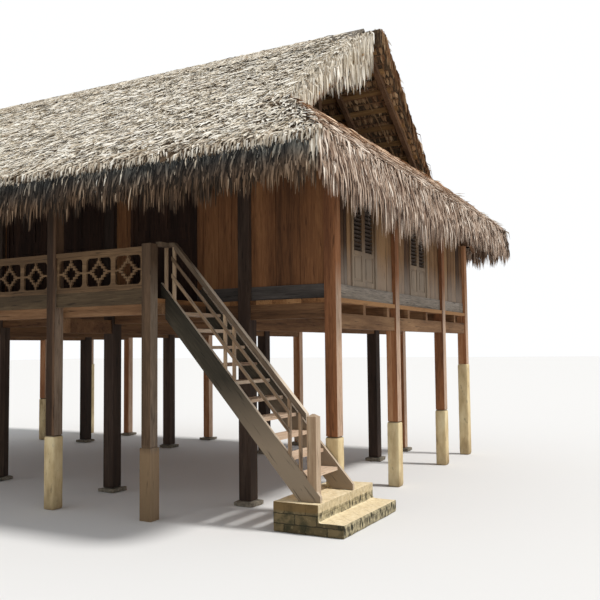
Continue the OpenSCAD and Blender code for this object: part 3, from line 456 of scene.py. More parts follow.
def boarded(sources, name, direction, cuts, finish, gap, seed, proud):
    """CAD boarding cut into boards at these places along one direction, each with its own tone. gap is the
    width of a joint, and proud the direction and the length by which a board may stand off its
    neighbours."""
    chance = np.random.default_rng(seed)
    direction = Vector(direction)
    boards = []
    for low, high in zip(cuts[:-1], cuts[1:]):
        for source in sources:
            board = merged_copy(source, "board")
            for place, cleared in ((low + gap / 2, "clear_inner"), (high - gap / 2, "clear_outer")):
                bpy.ops.mesh.select_all(action="SELECT")
                bpy.ops.mesh.bisect(
                    plane_co=direction * place,
                    plane_no=direction,
                    use_fill=True,
                    threshold=1e-5,
                    **{cleared: True},
                )
            bpy.ops.object.mode_set(mode="OBJECT")
            if not board.data.polygons:
                bpy.data.objects.remove(board)
                continue
            board.data.transform(Matrix.Translation(Vector(proud) * float(chance.uniform(-1.0, 1.0))))
            tone = float(chance.uniform(0.0, 1.0))
            tint = board.data.attributes.new("tint", "FLOAT", "POINT")
            tint.data.foreach_set("value", [tone] * len(board.data.vertices))
            board.data.materials.clear()
            boards.append(board)
    bpy.ops.object.select_all(action="DESELECT")
    for board in boards:
        board.select_set(True)
    piece = boards[0]
    bpy.context.view_layer.objects.active = piece
    bpy.ops.object.join()
    piece.name = name
    piece.data.materials.append(finish.material)
    edges = piece.modifiers.new("worn edges", "BEVEL")
    edges.width = worn_edge
    edges.limit_method = "ANGLE"
    bpy.ops.object.modifier_apply(modifier=edges.name)
    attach(piece, "root")
    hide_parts(*sources)
    return piece


def board_lines(start, end, width, seed):
    """Places of the joints between boards of about this width."""
    chance = np.random.default_rng(seed)
    count = max(1, round((end - start) / width))
    stray = chance.uniform(-0.12, 0.12, count - 1) * width
    inner = np.linspace(start, end, count + 1)[1:-1] + stray
    return [start, *inner.tolist(), end]


house_long = 8.355
end_bay = 1.110
house_deep = 5.090
spare = 0.2
deck_wood = timber(
    "floor boards", srgb(84, 55, 33), srgb(136, 94, 58), srgb(170, 127, 85), "Y", vary=0.4, tinted=True
)
along = (1.0, 0.0, 0.0)
inward = (0.0, 1.0, 0.0)
deck_lines = board_lines(-house_long - spare, spare, width=0.19, seed=3)
boarded(
    ["floor_deck"], "floor_boards", along, deck_lines, deck_wood,
    gap=0.003, seed=5, proud=(0.0, 0.0, 0.0015),
)
porch_lines = board_lines(-house_long, 0.0, width=0.16, seed=4)
boarded(
    ["porch_deck"], "porch_floor_boards", along, porch_lines, deck_wood,
    gap=0.004, seed=6, proud=(0.0, 0.0, 0.0015),
)

# Sills and walls
# Upright boards stand on heavy sill boards. The front is of wide oiled boards in shade, the other walls of
# narrower boards that the weather has bleached. These are paler in their lowest half metre, partly weathered
# grey and partly painted sunlight below the painted shadow of the eave.
timber(
    "sill timber", srgb(50, 46, 43), srgb(86, 80, 76), srgb(132, 125, 121), "level", each_long_beam,
    sunlit_pale=0.4,
).on("sill_boards")
front_wood = timber(
    "front boards", srgb(78, 50, 31), srgb(130, 87, 55), srgb(166, 120, 79), "Z", vary=0.26, tinted=True
)
front_lines = [
    *board_lines(-house_long, -house_long + end_bay, width=0.37, seed=7),
    *board_lines(-house_long + end_bay, -end_bay, width=0.2, seed=8)[1:-1],
    *board_lines(-end_bay, 0.0, width=0.37, seed=9),
]
boarded(
    ["front_wall", "front_wall_over_doors"], "front_boards", along, front_lines, front_wood,
    gap=0.004, seed=10, proud=(0.0, 0.004, 0.0),
)
# The weathered boards are paler in their lowest half metre, partly weathered grey and partly painted
# sunlight below the painted shadow of the eave.
outer_wood = timber(
    "weathered boards", srgb(58, 38, 24), srgb(108, 76, 48), srgb(152, 118, 82), "Z", vary=0.5, tinted=True,
    foot=(2.62, 3.0, srgb(156, 143, 130)),
)
narrow_from, narrow_to = 0.10, 0.43
wide_from = 0.515
gable_lines = [
    0.0,
    *np.linspace(narrow_from, narrow_to, 5).tolist(),
    *board_lines(wide_from, house_deep + spare, width=0.22, seed=11),
]
boarded(
    ["gable_walls", "gable_walls_over_windows"], "gable_boards", inward, gable_lines, outer_wood,
    gap=0.007, seed=12, proud=(0.004, 0.0, 0.0),
)
rear_lines = board_lines(-house_long - spare, spare, width=0.21, seed=13)
boarded(
    ["rear_wall", "rear_wall_over_windows"], "rear_boards", along, rear_lines, outer_wood,
    gap=0.006, seed=14, proud=(0.0, 0.004, 0.0),
)
# The window joinery is paler low down, partly weathered and partly painted sunlight below the painted shadow
# of the eave, and its louvre slats carry painted shade.
timber(
    "window joinery", srgb(70, 50, 34), srgb(118, 93, 67), srgb(160, 136, 107), "Z",
    foot=(2.8, 3.1, srgb(160, 147, 132)), slat_shade=srgb(58, 45, 35),
).on("window_frames", "window_shutters")
timber(
    "door timber", srgb(27, 17, 13), srgb(50, 33, 25), srgb(84, 58, 43), "Z"
).on("door_frames", "door_leaves")

# Porch railing
# A board along the porch edge, plain rails, and fretted panels sawn with a stepped diamond, of bare timber.
timber(
    "railing timber", srgb(66, 50, 34), srgb(106, 82, 58), srgb(146, 118, 86), "X"
).on("railing_rails", "railing_fretwork")
# The porch edge board is a darker copy of the railing timber: painted shade.
timber(
    "porch edge timber", srgb(46, 37, 26), srgb(78, 63, 45), srgb(112, 94, 70), "X"
).on("porch_band_board")

# Stair
# Two stringers with housed treads, a handrail with thin mid rails and balusters, all grey-brown, and the
# treads worn pale. The stringers are darker above as painted shade and paler towards their foot as painted
# sunlight, the handrail is darker as painted shade, and the upper edges and the faces towards the sun are
# painted pale as painted sunlight.
tread_rise = 0.186
tread_going = 0.165
each_tread = (tread_going, 100.0, 100.0)
stair_lean = -math.atan2(tread_rise, tread_going)
# Painted light on the stringers: darker above as painted shade, paler towards the foot and on the upper
# edges and the faces towards the sun as painted sunlight.
timber(
    "stair timber", srgb(38, 34, 27), srgb(64, 58, 47), srgb(102, 92, 77), "X", sunlit_pale=2.2, lean=stair_lean,
    foot=(0.75, 1.45, srgb(176, 156, 132)),
).on("stair_stringers")
# The handrail is a darker copy of the rail timber as painted shade, with painted sunlight on its upper
# faces.
timber(
    "stair handrail", srgb(58, 48, 38), srgb(98, 82, 66), srgb(138, 120, 99), "X",
    sunlit_pale=1.2, lean=stair_lean,
).on("stair_handrail")
timber(
    "stair rails", srgb(84, 67, 51), srgb(134, 110, 86), srgb(174, 150, 122), "X",
    sunlit_pale=0.4, lean=stair_lean,
).on("stair_mid_rails")
timber(
    "stair uprights", srgb(104, 82, 62), srgb(160, 132, 104), srgb(196, 172, 142), "Z", sunlit_pale=0.3
).on("stair_newel", "stair_balusters")
timber(
    "stair treads", srgb(138, 112, 92), srgb(200, 172, 146), srgb(230, 208, 184), "Y", each_tread
).on("stair_treads")

# Roof frame
# Plates and beams of squared timber carry round poles, and split bamboo laths cross them to take the leaves.
# All of it is brown with smoke, and the ridge boards outside have gone grey.
timber(
    "roof beams", srgb(66, 48, 36), srgb(110, 82, 60), srgb(148, 116, 88), "X"
).on("wall_plates", "eave_plates", "ridge_pole")
timber(
    "roof cross beams", srgb(66, 48, 36), srgb(108, 80, 58), srgb(144, 112, 84), "Y"
).on("gable_plates", "head_beams", "tie_beams", "main_rafters", "hip_rafters", "skirt_rafters")
timber(
    "king posts", srgb(66, 48, 36), srgb(108, 80, 58), srgb(144, 112, 84), "Z"
).on("king_posts")
timber(
    "split bamboo laths", srgb(104, 76, 48), srgb(158, 122, 80), srgb(192, 156, 108), "X"
).on("roof_battens")
timber(
    "ridge boards", srgb(76, 70, 64), srgb(124, 116, 106), srgb(168, 160, 146), "X"
).on("ridge_boards")

# Palm-leaf thatch
# Bundles of dry palm leaf are tied to the laths in courses, each course lapping the ones below, and hang
# from the eaves in a loose fringe. The rain side is bleached to straw and grey, and the depth between the
# leaves is dark.
ridge_y = 1.915
ridge_boards_high = 0.036
centre = np.array([-house_long / 2, ridge_y])
half_long = house_long / 2
ridge_z = cad_box[1].z - ridge_boards_high
pitch = math.radians(34.5)
open_half = 2.400
eave_half = 3.600
skirt_in = 0.230
skirt_run = 0.950
skirt_z = ridge_z - math.tan(pitch) * open_half
eave_z = ridge_z - math.tan(pitch) * eave_half
skirt_pitch = math.atan((skirt_z - eave_z) / skirt_run)
tip_share = 1.07
eave_round = 0.450
thick = 0.220
edge_fall = 0.035
over_bed = 0.028
bend_share = 0.92
front_reach = open_half + tip_share * (eave_half - open_half)
skirt_reach = half_long - skirt_in + tip_share * skirt_run
scatter = np.random.default_rng(41)


def leaf_colours(name, stops, streaks=(1.0, 0.4, 0.4)):
    """Dry leaf whose tone comes from each leaf's own tint."""
    finish = Finish(name, roughness=0.9)
    finish.tint = finish.node("ShaderNodeAttribute", out="Fac", attribute_name="tint")
    finish.streak = finish.stretched(90.0, streaks, detail=4.0)
    wash = finish.stretched(1.6, detail=3.0)
    tone = finish.tint + (wash - 0.5) * 0.3 + (finish.streak - 0.5) * 0.25
    finish.leaf = finish.ramp(tone, *stops)
    return finish


bleached = leaf_colours(
    "bleached palm leaf",
    (
        (0.05, srgb(104, 88, 72)),
        (0.25, srgb(170, 153, 132)),
        (0.48, srgb(218, 206, 186)),
        (0.72, srgb(242, 234, 218)),
        (0.95, srgb(252, 248, 238)),
    ),
)
bleached.show(bleached.leaf, bleached.streak, depth=0.001)
weathered = leaf_colours(
    "weathered palm leaf",
    (
        (0.05, srgb(68, 48, 37)),
        (0.26, srgb(122, 98, 81)),
        (0.5, srgb(176, 152, 132)),
        (0.75, srgb(216, 198, 181)),
        (0.95, srgb(242, 229, 214)),
    ),
)
patches = weathered.stretched(2.2) - 0.5
sunned = weathered.fade(weathered.axis("Z") + patches * 0.5, eave_z + 0.25, skirt_z - 0.1)
warm = weathered.mix(0.8, weathered.leaf, srgb(255, 216, 166), "MULTIPLY")
weathered.show(weathered.mix(sunned * 0.65, weathered.leaf, warm), weathered.streak, depth=0.001)
sheltered = leaf_colours(
    "sheltered palm leaf",
    (
        (0.05, srgb(78, 54, 40)),
        (0.3, srgb(136, 100, 72)),
        (0.55, srgb(176, 142, 106)),
        (0.8, srgb(204, 174, 136)),
        (0.95, srgb(222, 200, 166)),
    ),
    (0.4, 0.4, 1.0),
)
sheltered.show(sheltered.leaf, sheltered.streak, depth=0.001)
# The front fringe is painted dark as painted shade: grey at the top under the bend, and browner but still
# darkened further down.
shaded_front_fringe = leaf_colours(
    "front fringe leaf in painted shade",
    (
        (0.05, srgb(26, 26, 26)),
        (0.3, srgb(52, 53, 52)),
        (0.55, srgb(86, 86, 82)),
        (0.8, srgb(132, 129, 120)),
        (0.95, srgb(176, 171, 158)),
    ),
)
dry_tips_in_shade = shaded_front_fringe.ramp(
    shaded_front_fringe.tint + (shaded_front_fringe.streak - 0.5) * 0.25,
    (0.05, srgb(40, 31, 22)),
    (0.3, srgb(76, 58, 43)),
    (0.55, srgb(116, 92, 71)),
    (0.8, srgb(158, 132, 107)),
    (0.95, srgb(194, 170, 144)),
)
uneven = shaded_front_fringe.stretched(3.0) - 0.5
hanging = shaded_front_fringe.fade(shaded_front_fringe.axis("Z") + uneven * 0.3, eave_z - 0.06, eave_z - 0.34)
shaded_front_fringe.show(shaded_front_fringe.mix(hanging, shaded_front_fringe.leaf, dry_tips_in_shade), shaded_front_fringe.streak, depth=0.001)

thatch_bed = Finish("packed leaf stalks", roughness=1.0)
matted = thatch_bed.stretched(60.0, (1.0, 0.3, 0.3), detail=6.0)
packed = thatch_bed.ramp(
    matted, (0.35, srgb(62, 49, 38)), (0.6, srgb(108, 89, 68)), (0.8, srgb(146, 124, 96))
)
shaded = thatch_bed.ramp(matted, (0.35, srgb(22, 18, 14)), (0.7, srgb(54, 44, 33)))
under_eave = thatch_bed.fade(thatch_bed.axis("Z"), eave_z - 0.02, eave_z - 0.10)
packed = thatch_bed.mix(under_eave, packed, shaded)
thatch_bed.show(packed, matted, depth=0.02)


root_wide = 0.55
tip_wide = 0.14


def leaf_blade(lengths):
    """One leaf along X from its tied root at 0 to its tip at 1, and 1 across at its widest."""
    bpy.ops.object.select_all(action="DESELECT")
    bpy.ops.mesh.primitive_grid_add(
        x_subdivisions=lengths, y_subdivisions=1, size=1.0, location=(0.5, 0.0, 0.0)
    )
    blade = bpy.context.object
    bpy.ops.object.transform_apply()
    for place, width in ((0.0, root_wide), (1.0, tip_wide)):
        bpy.ops.object.mode_set(mode="EDIT")
        bpy.ops.mesh.select_all(action="DESELECT")
        bpy.ops.object.mode_set(mode="OBJECT")
        for vertex in blade.data.vertices:
            vertex.select = abs(vertex.co.x - place) < 0.01
        bpy.ops.object.mode_set(mode="EDIT")
        bpy.ops.transform.resize(value=(1.0, width, 1.0), center_override=(place, 0.0, 0.0))
        bpy.ops.object.mode_set(mode="OBJECT")
    points = np.array([vertex.co for vertex in blade.data.vertices])
    faces = np.array([list(face.vertices) for face in blade.data.polygons])
    bpy.data.objects.remove(blade)
    return points, faces


short_blade = leaf_blade(2)
long_blade = leaf_blade(3)
unbent = 2.0
bend_long = 0.3
roll_margin = 0.1
tip_lighter = 0.12
shades = (0.02, 1.0)


def leaves(root, down, across, out, yaw, length, width, lift, tone, droop=0.0, bend_at=unbent, roll=0.3):
    """A group of leaves in the frame of one roof side: along its eave, out from the middle of the house,
    and up.

    Each lies on a surface with the directions down, across and out, turned on it by its yaw. Past its bend,
    at this share of its length, it hangs towards the ground by its droop.
    """
    count = len(root)
    return {
        "root": root,
        "heading": down * np.cos(yaw)[:, None] + across * np.sin(yaw)[:, None],
        "out": np.broadcast_to(out, (count, 3)),
        "roll": scatter.normal(0.0, roll, count),
        "length": np.broadcast_to(length, count),
        "width": np.broadcast_to(width, count),
        "lift": np.broadcast_to(lift, count),
        "tone": np.broadcast_to(tone, count),
        "droop": np.broadcast_to(droop, count),
        "bend_at": np.broadcast_to(bend_at, count),
    }


def lay(name, finish, blade, quarter, groups):
    """Lays groups of leaves as one mesh on one roof side: 0 is the front, 1 the stair end, 2 the rear, 3
    the far end. They stay inside the box of the CAD model, and the more a leaf rolls, the further
    inside."""
    blade_points, blade_faces = blade
    leaf = {key: np.concatenate([group[key] for group in groups]) for key in groups[0]}
    rows = np.unique(blade_points[:, 0].round(4))
    point = leaf["root"].copy()
    spine = [point]
    for near, far in zip(rows[:-1], rows[1:]):
        hang = np.clip(((near + far) / 2 - leaf["bend_at"]) / bend_long + 0.5, 0.0, 1.0) * leaf["droop"]
        step = leaf["heading"] * (1 - hang)[:, None] + np.array([0.0, 0.0, -1.0]) * hang[:, None]
        step /= np.linalg.norm(step, axis=1)[:, None]
        point = point + step * (leaf["length"] * (far - near))[:, None]
        spine.append(point + leaf["out"] * (leaf["lift"] * far * (2.0 - far))[:, None])
    sideways = np.cross(leaf["heading"], leaf["out"])
    sideways /= np.linalg.norm(sideways, axis=1)[:, None]
    sideways = sideways * np.cos(leaf["roll"])[:, None] + leaf["out"] * np.sin(leaf["roll"])[:, None]
    row_of = np.searchsorted(rows, blade_points[:, 0].round(4))
    points = np.array(spine)[row_of] + sideways * (blade_points[:, 1][:, None] * leaf["width"])[..., None]
    along, out, up = points.transpose(1, 0, 2).reshape(-1, 3).T
    turn_x, turn_y = ((1, 0), (0, 1), (-1, 0), (0, -1))[quarter]
    margin = np.repeat(roll_margin * np.abs(leaf["roll"]), len(blade_points))
    x = centre[0] + along * turn_x + out * turn_y
    y = centre[1] + along * turn_y - out * turn_x
    x = np.clip(x, cad_box[0].x + margin, cad_box[1].x - margin)
    y = np.clip(y, cad_box[0].y + margin, cad_box[1].y - margin)
    points = np.stack([x, y, np.minimum(up, cad_box[1].z)], 1)
    count = len(leaf["root"])
    step = len(blade_points)
    faces = (blade_faces[None] + (np.arange(count) * step)[:, None, None]).reshape(-1, 4)
    mesh = bpy.data.meshes.new(name)
    mesh.from_pydata(points, [], faces.tolist())
    tones = np.repeat(leaf["tone"], step) + (np.tile(blade_points[:, 0], count) - 0.5) * tip_lighter
    tint = mesh.attributes.new("tint", "FLOAT", "POINT")
    tint.data.foreach_set("value", tones.astype(np.float32))
    mesh.materials.append(finish.material)
    piece = bpy.data.objects.new(name, mesh)
    bpy.context.scene.collection.objects.link(piece)
    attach(piece, "root")
    return piece


bed_below_eave = 0.19
bed_drawn_in = 0.022


def bed(node, name):
    """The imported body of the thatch: the CAD side without its hanging tips, drawn in a little under the
    leaves."""
    bed_foot = (0.0, 0.0, eave_z - bed_below_eave)
    piece = merged_copy(node, name)
    bpy.ops.mesh.bisect(plane_co=bed_foot, plane_no=upward, use_fill=True, clear_inner=True)
    bpy.ops.mesh.select_all(action="SELECT")
    bpy.ops.transform.shrink_fatten(value=-bed_drawn_in)
    bpy.ops.object.mode_set(mode="OBJECT")
    piece.data.materials.clear()
    piece.data.materials.append(thatch_bed.material)
    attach(piece, "root")
    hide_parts(node)
    return piece


verge_turn = 2.04
verge_turn_long = 0.36
front_verge_in, front_verge_back = 0.38, 0.15
rear_verge_in, rear_verge_more = 0.13, 0.10


def front_verge(out):
    """How far the torn front verge stands from the gable row: inside it, and less so just above the
    skirt."""
    return -front_verge_in + front_verge_back * max(0.0, (out - verge_turn) / verge_turn_long)


def rear_verge(out):
    """How far the rear verge stands from the gable row: inside it, and more so down the slope."""
    return -rear_verge_in - rear_verge_more * min(1.0, out / verge_turn)


eave_band = 0.42
eave_band_fade = 0.3


def cover(rows, corner, edge, height, angle, fan, fan_from, tone, sizes, torn=None):
    """Courses of leaves on one roof side. edge and height give the half length and the top of a row, and
    corner is the middle of the round corner of the roof. Beyond the row fan_from, the leaves at both ends
    of a row turn outwards by fan. sizes holds the spacing of the leaves and how they differ, with
    damp_and_shade for how much darker they are at the eave, partly damp leaf and partly painted shade under
    the bend. torn is the place and the size of a bare spot."""
    down = np.array([0.0, math.cos(angle), -math.sin(angle)])
    out_of = np.array([0.0, math.sin(angle), math.cos(angle)])
    across = np.array([1.0, 0.0, 0.0])
    eave = rows[-1]
    groups = []
    for row in rows:
        half = edge(row)
        count = int(2 * half / sizes["apart"])
        along = scatter.uniform(-half, half, count)
        out = np.clip(row + scatter.normal(0.0, 0.03, count), rows[0], eave)
        past = np.stack([np.abs(along) - corner[0], out - corner[1]], 1)
        kept = (past.min(1) < 0.0) | (np.hypot(past[:, 0], past[:, 1]) < eave_round)
        if torn:
            from_tear = np.hypot(along - torn[0], (out - torn[1]) * 1.4)
            kept &= from_tear > torn[2] * scatter.uniform(0.8, 1.2, count)
        along, out = along[kept], out[kept]
        count = len(along)
        to_edge = half - np.abs(along)
        yaw = scatter.normal(0.0, sizes["stray"], count)
        if row > fan_from:
            yaw *= 1.0 - 0.6 * np.exp(-to_edge / 0.15)
            yaw += fan * np.exp(-to_edge / 0.24) * np.sign(along)
        else:
            yaw *= 1.0 - 0.8 * np.exp(-to_edge / 0.2)
        low = np.clip((out - eave + eave_band) / eave_band_fade, 0.0, 1.0) * scatter.uniform(0.4, 1.0, count)
        length = scatter.uniform(*sizes["length"], count)
        length = length * (1.0 + low * scatter.uniform(0.0, 0.9, count) ** 2)
        sunk = scatter.uniform(0.0, 0.03, count)
        root = np.stack([along, out, height(out)], 1) - out_of * sunk[:, None]
        bend_at = np.where(low > 0.0, (eave - 0.04 - out) / (length * math.cos(angle)), unbent)
        # Near the eave the leaves are darker, partly damp leaf and partly painted shade under the bend.
        tones = np.clip(scatter.normal(tone, sizes["mottle"], count) - sizes["damp_and_shade"] * low, *shades)
        width = scatter.uniform(*sizes["width"], count)
        lift = scatter.uniform(*sizes["lift"], count)
        droop = scatter.uniform(0.75, 1.0, count)
        groups.append(leaves(root, down, across, out_of, yaw, length, width, lift, tones, droop, bend_at))
    return groups


fringe_leaf_apart = 0.0092
fringe_tuft_apart = 0.14
corner_turn = math.pi / 4


def fringe(half, reach, drop, layers, tone, sag=0.0, sag_at=0.0, corner_tone=0.0):
    """Leaves hanging in tufts from one eave and from its half of each round corner. drop is how low they
    reach, sag how much lower about one place, and corner_tone how much paler they are towards the right-
    hand corner, as one faces that side."""
    end = half - eave_round + eave_round * corner_turn
    groups = []
    for layer in range(layers):
        inner = 1.0 - layer / (layers - 1)
        count = int(2 * end / fringe_leaf_apart)
        place = scatter.uniform(-end, end, count)
        tufts = scatter.uniform(-end, end, int(2 * end / fringe_tuft_apart))
        near = np.abs(place[:, None] - tufts[None]).argmin(1)
        aside = tufts[near] - place
        fullness = scatter.uniform(0.72, 1.08, len(tufts))[near]
        turn = np.sign(place) * np.clip(np.abs(place) - (half - eave_round), 0.0, None) / eave_round
        straight = np.clip(place, eave_round - half, half - eave_round)
        depth = 0.01 + 0.17 * inner + scatter.uniform(0.0, 0.05, count)
        inset = np.interp(depth, (0.0, 0.26), (0.082, 0.022)) + 0.008 * inner
        inset = inset * (1.0 - np.abs(turn) / corner_turn) + 0.006
        outward = np.stack([np.sin(turn), np.cos(turn), np.zeros(count)], 1)
        across = np.stack([np.cos(turn), -np.sin(turn), np.zeros(count)], 1)
        root = np.stack([straight, np.full(count, reach - eave_round), eave_z - depth], 1)
        root += outward * (eave_round - inset)[:, None]
        low = drop + sag * np.exp(-(((place - sag_at) / 1.6) ** 4))
        length = low * (1.0 - 0.42 * (1.0 - inner)) * fullness * scatter.uniform(0.8, 1.06, count) - depth
        length = np.clip(length * (1.0 - 0.9 * np.abs(aside)), 0.10, None)
        yaw = np.clip(0.55 * aside / length, -0.4, 0.4) + scatter.normal(0.0, 0.10, count)
        down = outward * 0.20 + np.array([0.0, 0.0, -0.98])
        width = scatter.uniform(0.010, 0.025, count)
        lift = scatter.uniform(-0.015, 0.015, count)
        paler = corner_tone * np.exp(-(((end - place) / 0.6) ** 2))
        tones = np.clip(scatter.normal(tone - 0.10 * inner, 0.24, count) + paler, *shades)
        groups.append(leaves(root, down, across, outward, yaw, length, width, lift, tones, 1.0, 0.6, 0.5))
    return groups


def verge_strands(verge, reach, count, tone, lowest, spread, stray):
    """A ragged curtain of short leaves that hang off the open edge of one long side, at both gables. reach
    is how long it is at a place out from the ridge, lowest how far out it goes, and spread how far the
    leaves stand from the verge."""
    down = np.array([0.0, 0.55, -0.83])
    out_of = np.array([0.0, 0.83, 0.55])
    groups = []
    for end in (1, -1):
        across = np.array([float(end), 0.0, 0.0])
        run = 0.05 + lowest * scatter.uniform(0.0, 1.0, count) ** 1.3
        verge_at = half_long + np.array([verge(out) for out in run])
        edge = verge_at + scatter.uniform(*spread, count)
        ragged = np.interp(run, np.linspace(0.0, 2.6, 14), scatter.uniform(0.6, 1.15, 14))
        hang = np.clip(reach(run) * ragged - 0.2, 0.0, None)
        hang = hang * np.clip(scatter.uniform(-0.8, 1.0, count), 0.0, 1.0)
        hidden = (edge < verge_at) & (hang < 0.05)
        below = np.where(hidden, -0.035, hang + scatter.uniform(0.0, 0.06, count))
        root = np.stack([end * edge, run, ridge_z - math.tan(pitch) * run - below], 1)
        yaw = scatter.normal(0.25, stray, count)
        length = np.minimum(reach(run), 0.34) * scatter.uniform(0.5, 1.05, count)
        width = scatter.uniform(0.011, 0.026, count)
        lift = scatter.uniform(0.0, 0.03, count)
        droop = scatter.uniform(0.85, 1.0, count)
        bend_at = scatter.uniform(-0.1, 0.25, count)
        tones = np.clip(scatter.normal(tone, 0.2, count), *shades)
        groups.append(
            leaves(root, down, across, out_of, yaw, length, width, lift, tones, droop, bend_at, roll=0.6)
        )
    return groups


ridge_count = 6200
bare_left, bare_right = 0.42, 1.02


def ridge_leaves():
    """Leaves laid over the ridge from one side, which leave the ridge boards bare at the right, as one
    faces that side."""
    along = scatter.uniform(-half_long + bare_left, half_long - bare_right, ridge_count)
    along += 0.5 * scatter.uniform(0.0, 1.0, ridge_count) ** 6
    out = scatter.uniform(0.0, 0.36, ridge_count)
    root = np.stack([along, out, ridge_z + 0.040 - math.tan(pitch) * out], 1)
    down = np.array([0.0, math.cos(pitch), -math.sin(pitch)])
    across = np.array([1.0, 0.0, 0.0])
    out_of = np.array([0.0, math.sin(pitch), math.cos(pitch)])
    yaw = scatter.normal(0.0, 0.5, ridge_count)
    length = scatter.uniform(0.10, 0.22, ridge_count)
    width = scatter.uniform(0.013, 0.027, ridge_count)
    lift = scatter.uniform(0.004, 0.02, ridge_count)
    tones = np.clip(scatter.normal(0.6, 0.2, ridge_count), *shades)
    return leaves(root, down, across, out_of, yaw, length, width, lift, tones)


stalk_rows_apart = 0.105
stalks_apart = 0.028
laths_apart = 0.5
lath_long = 0.8
poles_apart = 0.27
pole_step = 0.6
pole_long = 0.8


def underside(verge):
    """What shows from below between the laths: rows of leaf stalks, each bound along thin split laths, and
    poles that run up the slope beneath them."""
    groups = []
    down = np.array([0.0, math.cos(pitch), -math.sin(pitch)])
    out_of = np.array([0.0, -math.sin(pitch), -math.cos(pitch)])
    across = np.array([1.0, 0.0, 0.0])
    for row in np.arange(0.06, 3.3, stalk_rows_apart):
        half = half_long + verge(row) - 0.02
        if row > open_half - 0.1:
            half = half_long - skirt_in + (row - open_half) * skirt_run / (eave_half - open_half) - 0.05
        count = int(2 * half / stalks_apart)
        along = scatter.uniform(-half, half, count)
        run = row + scatter.normal(0.0, 0.008, count)
        root = np.stack([along, run, ridge_z - math.tan(pitch) * run - thick + 0.02], 1)
        yaw = scatter.normal(0.0, 0.12, count)
        length = scatter.uniform(0.085, 0.135, count)
        width = scatter.uniform(0.026, 0.050, count)
        lift = scatter.uniform(0.004, 0.022, count)
        tones = np.clip(scatter.normal(0.46, 0.12, count), *shades)
        groups.append(leaves(root, down, across, out_of, yaw, length, width, lift, tones))
        count = int(2 * half / laths_apart)
        along = np.linspace(-half, half - lath_long, count)
        root = np.stack([along, np.full(count, row), np.full(count, side_height(row) - thick - 0.02)], 1)
        yaw = np.pi / 2 + scatter.normal(0.0, 0.012, count)
        tones = scatter.uniform(0.15, 0.5, count)
        width = scatter.uniform(0.014, 0.022, count)
        groups.append(leaves(root, down, across, out_of, yaw, lath_long, width, 0.012, tones))
    half = half_long - 0.3
    for row in np.arange(0.05, 2.2, pole_step):
        count = int(2 * half / poles_apart)
        along = np.linspace(-half, half, count) + scatter.normal(0.0, 0.02, count)
        root = np.stack([along, np.full(count, row), np.full(count, side_height(row) - thick - 0.05)], 1)
        yaw = scatter.normal(0.0, 0.03, count)
        tones = scatter.uniform(0.25, 0.6, count)
        width = scatter.uniform(0.022, 0.032, count)
        groups.append(leaves(root, down, across, out_of, yaw, pole_long, width, 0.008, tones))
    return groups


def side_edge(verge):
    """Gives the half length of a long side at a place out from the ridge."""
    hip = skirt_run / (eave_half - open_half)

    def half_at(out):
        return half_long + (verge(out) if out < open_half else (out - open_half) * hip - skirt_in)

    return half_at


def skirt_edge(out):
    """The half length of a skirt at a place out from the middle of the house."""
    return open_half + (out - half_long + skirt_in) * (eave_half - open_half) / skirt_run


def eave_fall(out, eave, run):
    """How far the roof stands above its plane, and how far it turns down past the bend at the eave."""
    bent = (1.0 - bend_share) * run
    past = np.clip((out - eave + bent) / bent, 0.0, 1.0)
    return over_bed - (over_bed + edge_fall) * past


def side_height(out):
    """The top of a long side at a place out from the ridge."""
    return ridge_z - math.tan(pitch) * out + eave_fall(out, eave_half, eave_half - open_half)


def skirt_height(out):
    """The top of a skirt at a place out from the middle of the house."""
    run = out - half_long + skirt_in
    return skirt_z - math.tan(skirt_pitch) * run + eave_fall(run, skirt_run, skirt_run)


bed("thatch_front", "front_thatch_bed")
bed("thatch_rear", "rear_thatch_bed")
bed("thatch_skirts", "skirt_thatch_beds")

long_sides = (("front", 0), ("rear", 2))
house_ends = (("stair_end", 1), ("far_end", 3))
verges = {"front": front_verge, "rear": rear_verge}
torn_spots = {"front": (-0.99 + half_long, 3.46, 0.10), "rear": None}
sag_places = {"stair_end": -1.4, "far_end": 1.4}
side_corner = np.array([skirt_reach - eave_round, front_reach - eave_round])
side_rows = np.array([*np.arange(0.03, 3.42, 0.055), *np.arange(3.44, eave_half + 0.02, 0.032)])
side_sizes = {
    "apart": 0.0150,
    "stray": 0.58,
    "length": (0.11, 0.21),
    "width": (0.014, 0.028),
    "lift": (0.006, 0.032),
    "mottle": 0.25,
    "damp_and_shade": 0.45,
}
for name, quarter in long_sides:
    courses = cover(
        side_rows, side_corner, side_edge(verges[name]), side_height, pitch,
        fan=0.75, fan_from=open_half, tone=0.81, sizes=side_sizes, torn=torn_spots[name],
    )
    lay(name + "_leaf_courses", bleached, short_blade, quarter, courses)

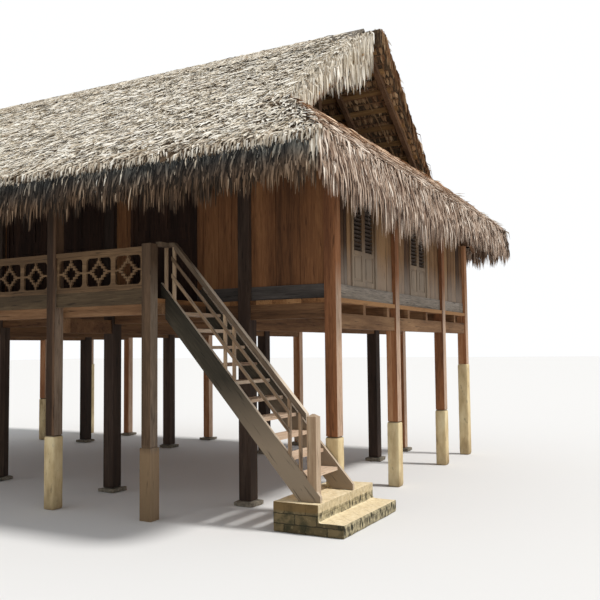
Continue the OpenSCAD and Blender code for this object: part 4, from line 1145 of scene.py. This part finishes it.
skirt_rows = np.array([*np.arange(0.02, 0.78, 0.05), *np.arange(0.79, skirt_run + 0.02, 0.03)])
skirt_rows = half_long - skirt_in + skirt_rows
skirt_sizes = {
    "apart": 0.0135,
    "stray": 0.32,
    "length": (0.16, 0.32),
    "width": (0.013, 0.028),
    "lift": (0.006, 0.042),
    "mottle": 0.27,
    "damp_and_shade": 0.0,
}
for name, quarter in house_ends:
    courses = cover(
        skirt_rows, side_corner[::-1], skirt_edge, skirt_height, skirt_pitch,
        fan=0.7, fan_from=0.0, tone=0.56, sizes=skirt_sizes,
    )
    lay(name + "_skirt_leaves", weathered, short_blade, quarter, courses)

hanging_leaves = fringe(skirt_reach, front_reach, drop=0.55, layers=9, tone=0.31, corner_tone=0.26)
lay("front_fringe", shaded_front_fringe, long_blade, 0, hanging_leaves)
hanging_leaves = fringe(skirt_reach, front_reach, drop=0.55, layers=9, tone=0.4)
lay("rear_fringe", weathered, long_blade, 2, hanging_leaves)
for name, quarter in house_ends:
    hanging_leaves = fringe(
        front_reach, skirt_reach, drop=0.56, layers=10, tone=0.46, sag=0.20, sag_at=sag_places[name]
    )
    lay(name + "_fringe", weathered, long_blade, quarter, hanging_leaves)


def front_curtain(run):
    """How long the curtain at the front verge is: longest at the ridge, and short further down."""
    return np.where(run < 0.95, 0.78 - 0.15 * run, 0.30)


def front_ends(run):
    """How long the leaf ends along the front verge are."""
    return 0.26 - 0.03 * run


def rear_curtain(run):
    """How long the curtain at the rear verge is."""
    return np.full(len(run), 0.24)


strands = verge_strands(
    front_verge, front_curtain, count=2600, tone=0.64, lowest=2.2, spread=(-0.20, 0.15), stray=0.6
)
lay("front_verge_strands", bleached, long_blade, 0, strands)
strands = verge_strands(
    front_verge, front_ends, count=1100, tone=0.6, lowest=2.3, spread=(-0.12, 0.08), stray=0.5
)
lay("front_verge_ends", bleached, long_blade, 0, strands)
strands = verge_strands(
    rear_verge, rear_curtain, count=1100, tone=0.4, lowest=2.35, spread=(-0.06, 0.03), stray=0.4
)
lay("rear_verge_strands", sheltered, long_blade, 2, strands)
for name, quarter in long_sides:
    lay(name + "_ridge_leaves", bleached, short_blade, quarter, [ridge_leaves()])
for name, quarter in long_sides:
    lay(name + "_underside_leaves", sheltered, short_blade, quarter, underside(verges[name]))
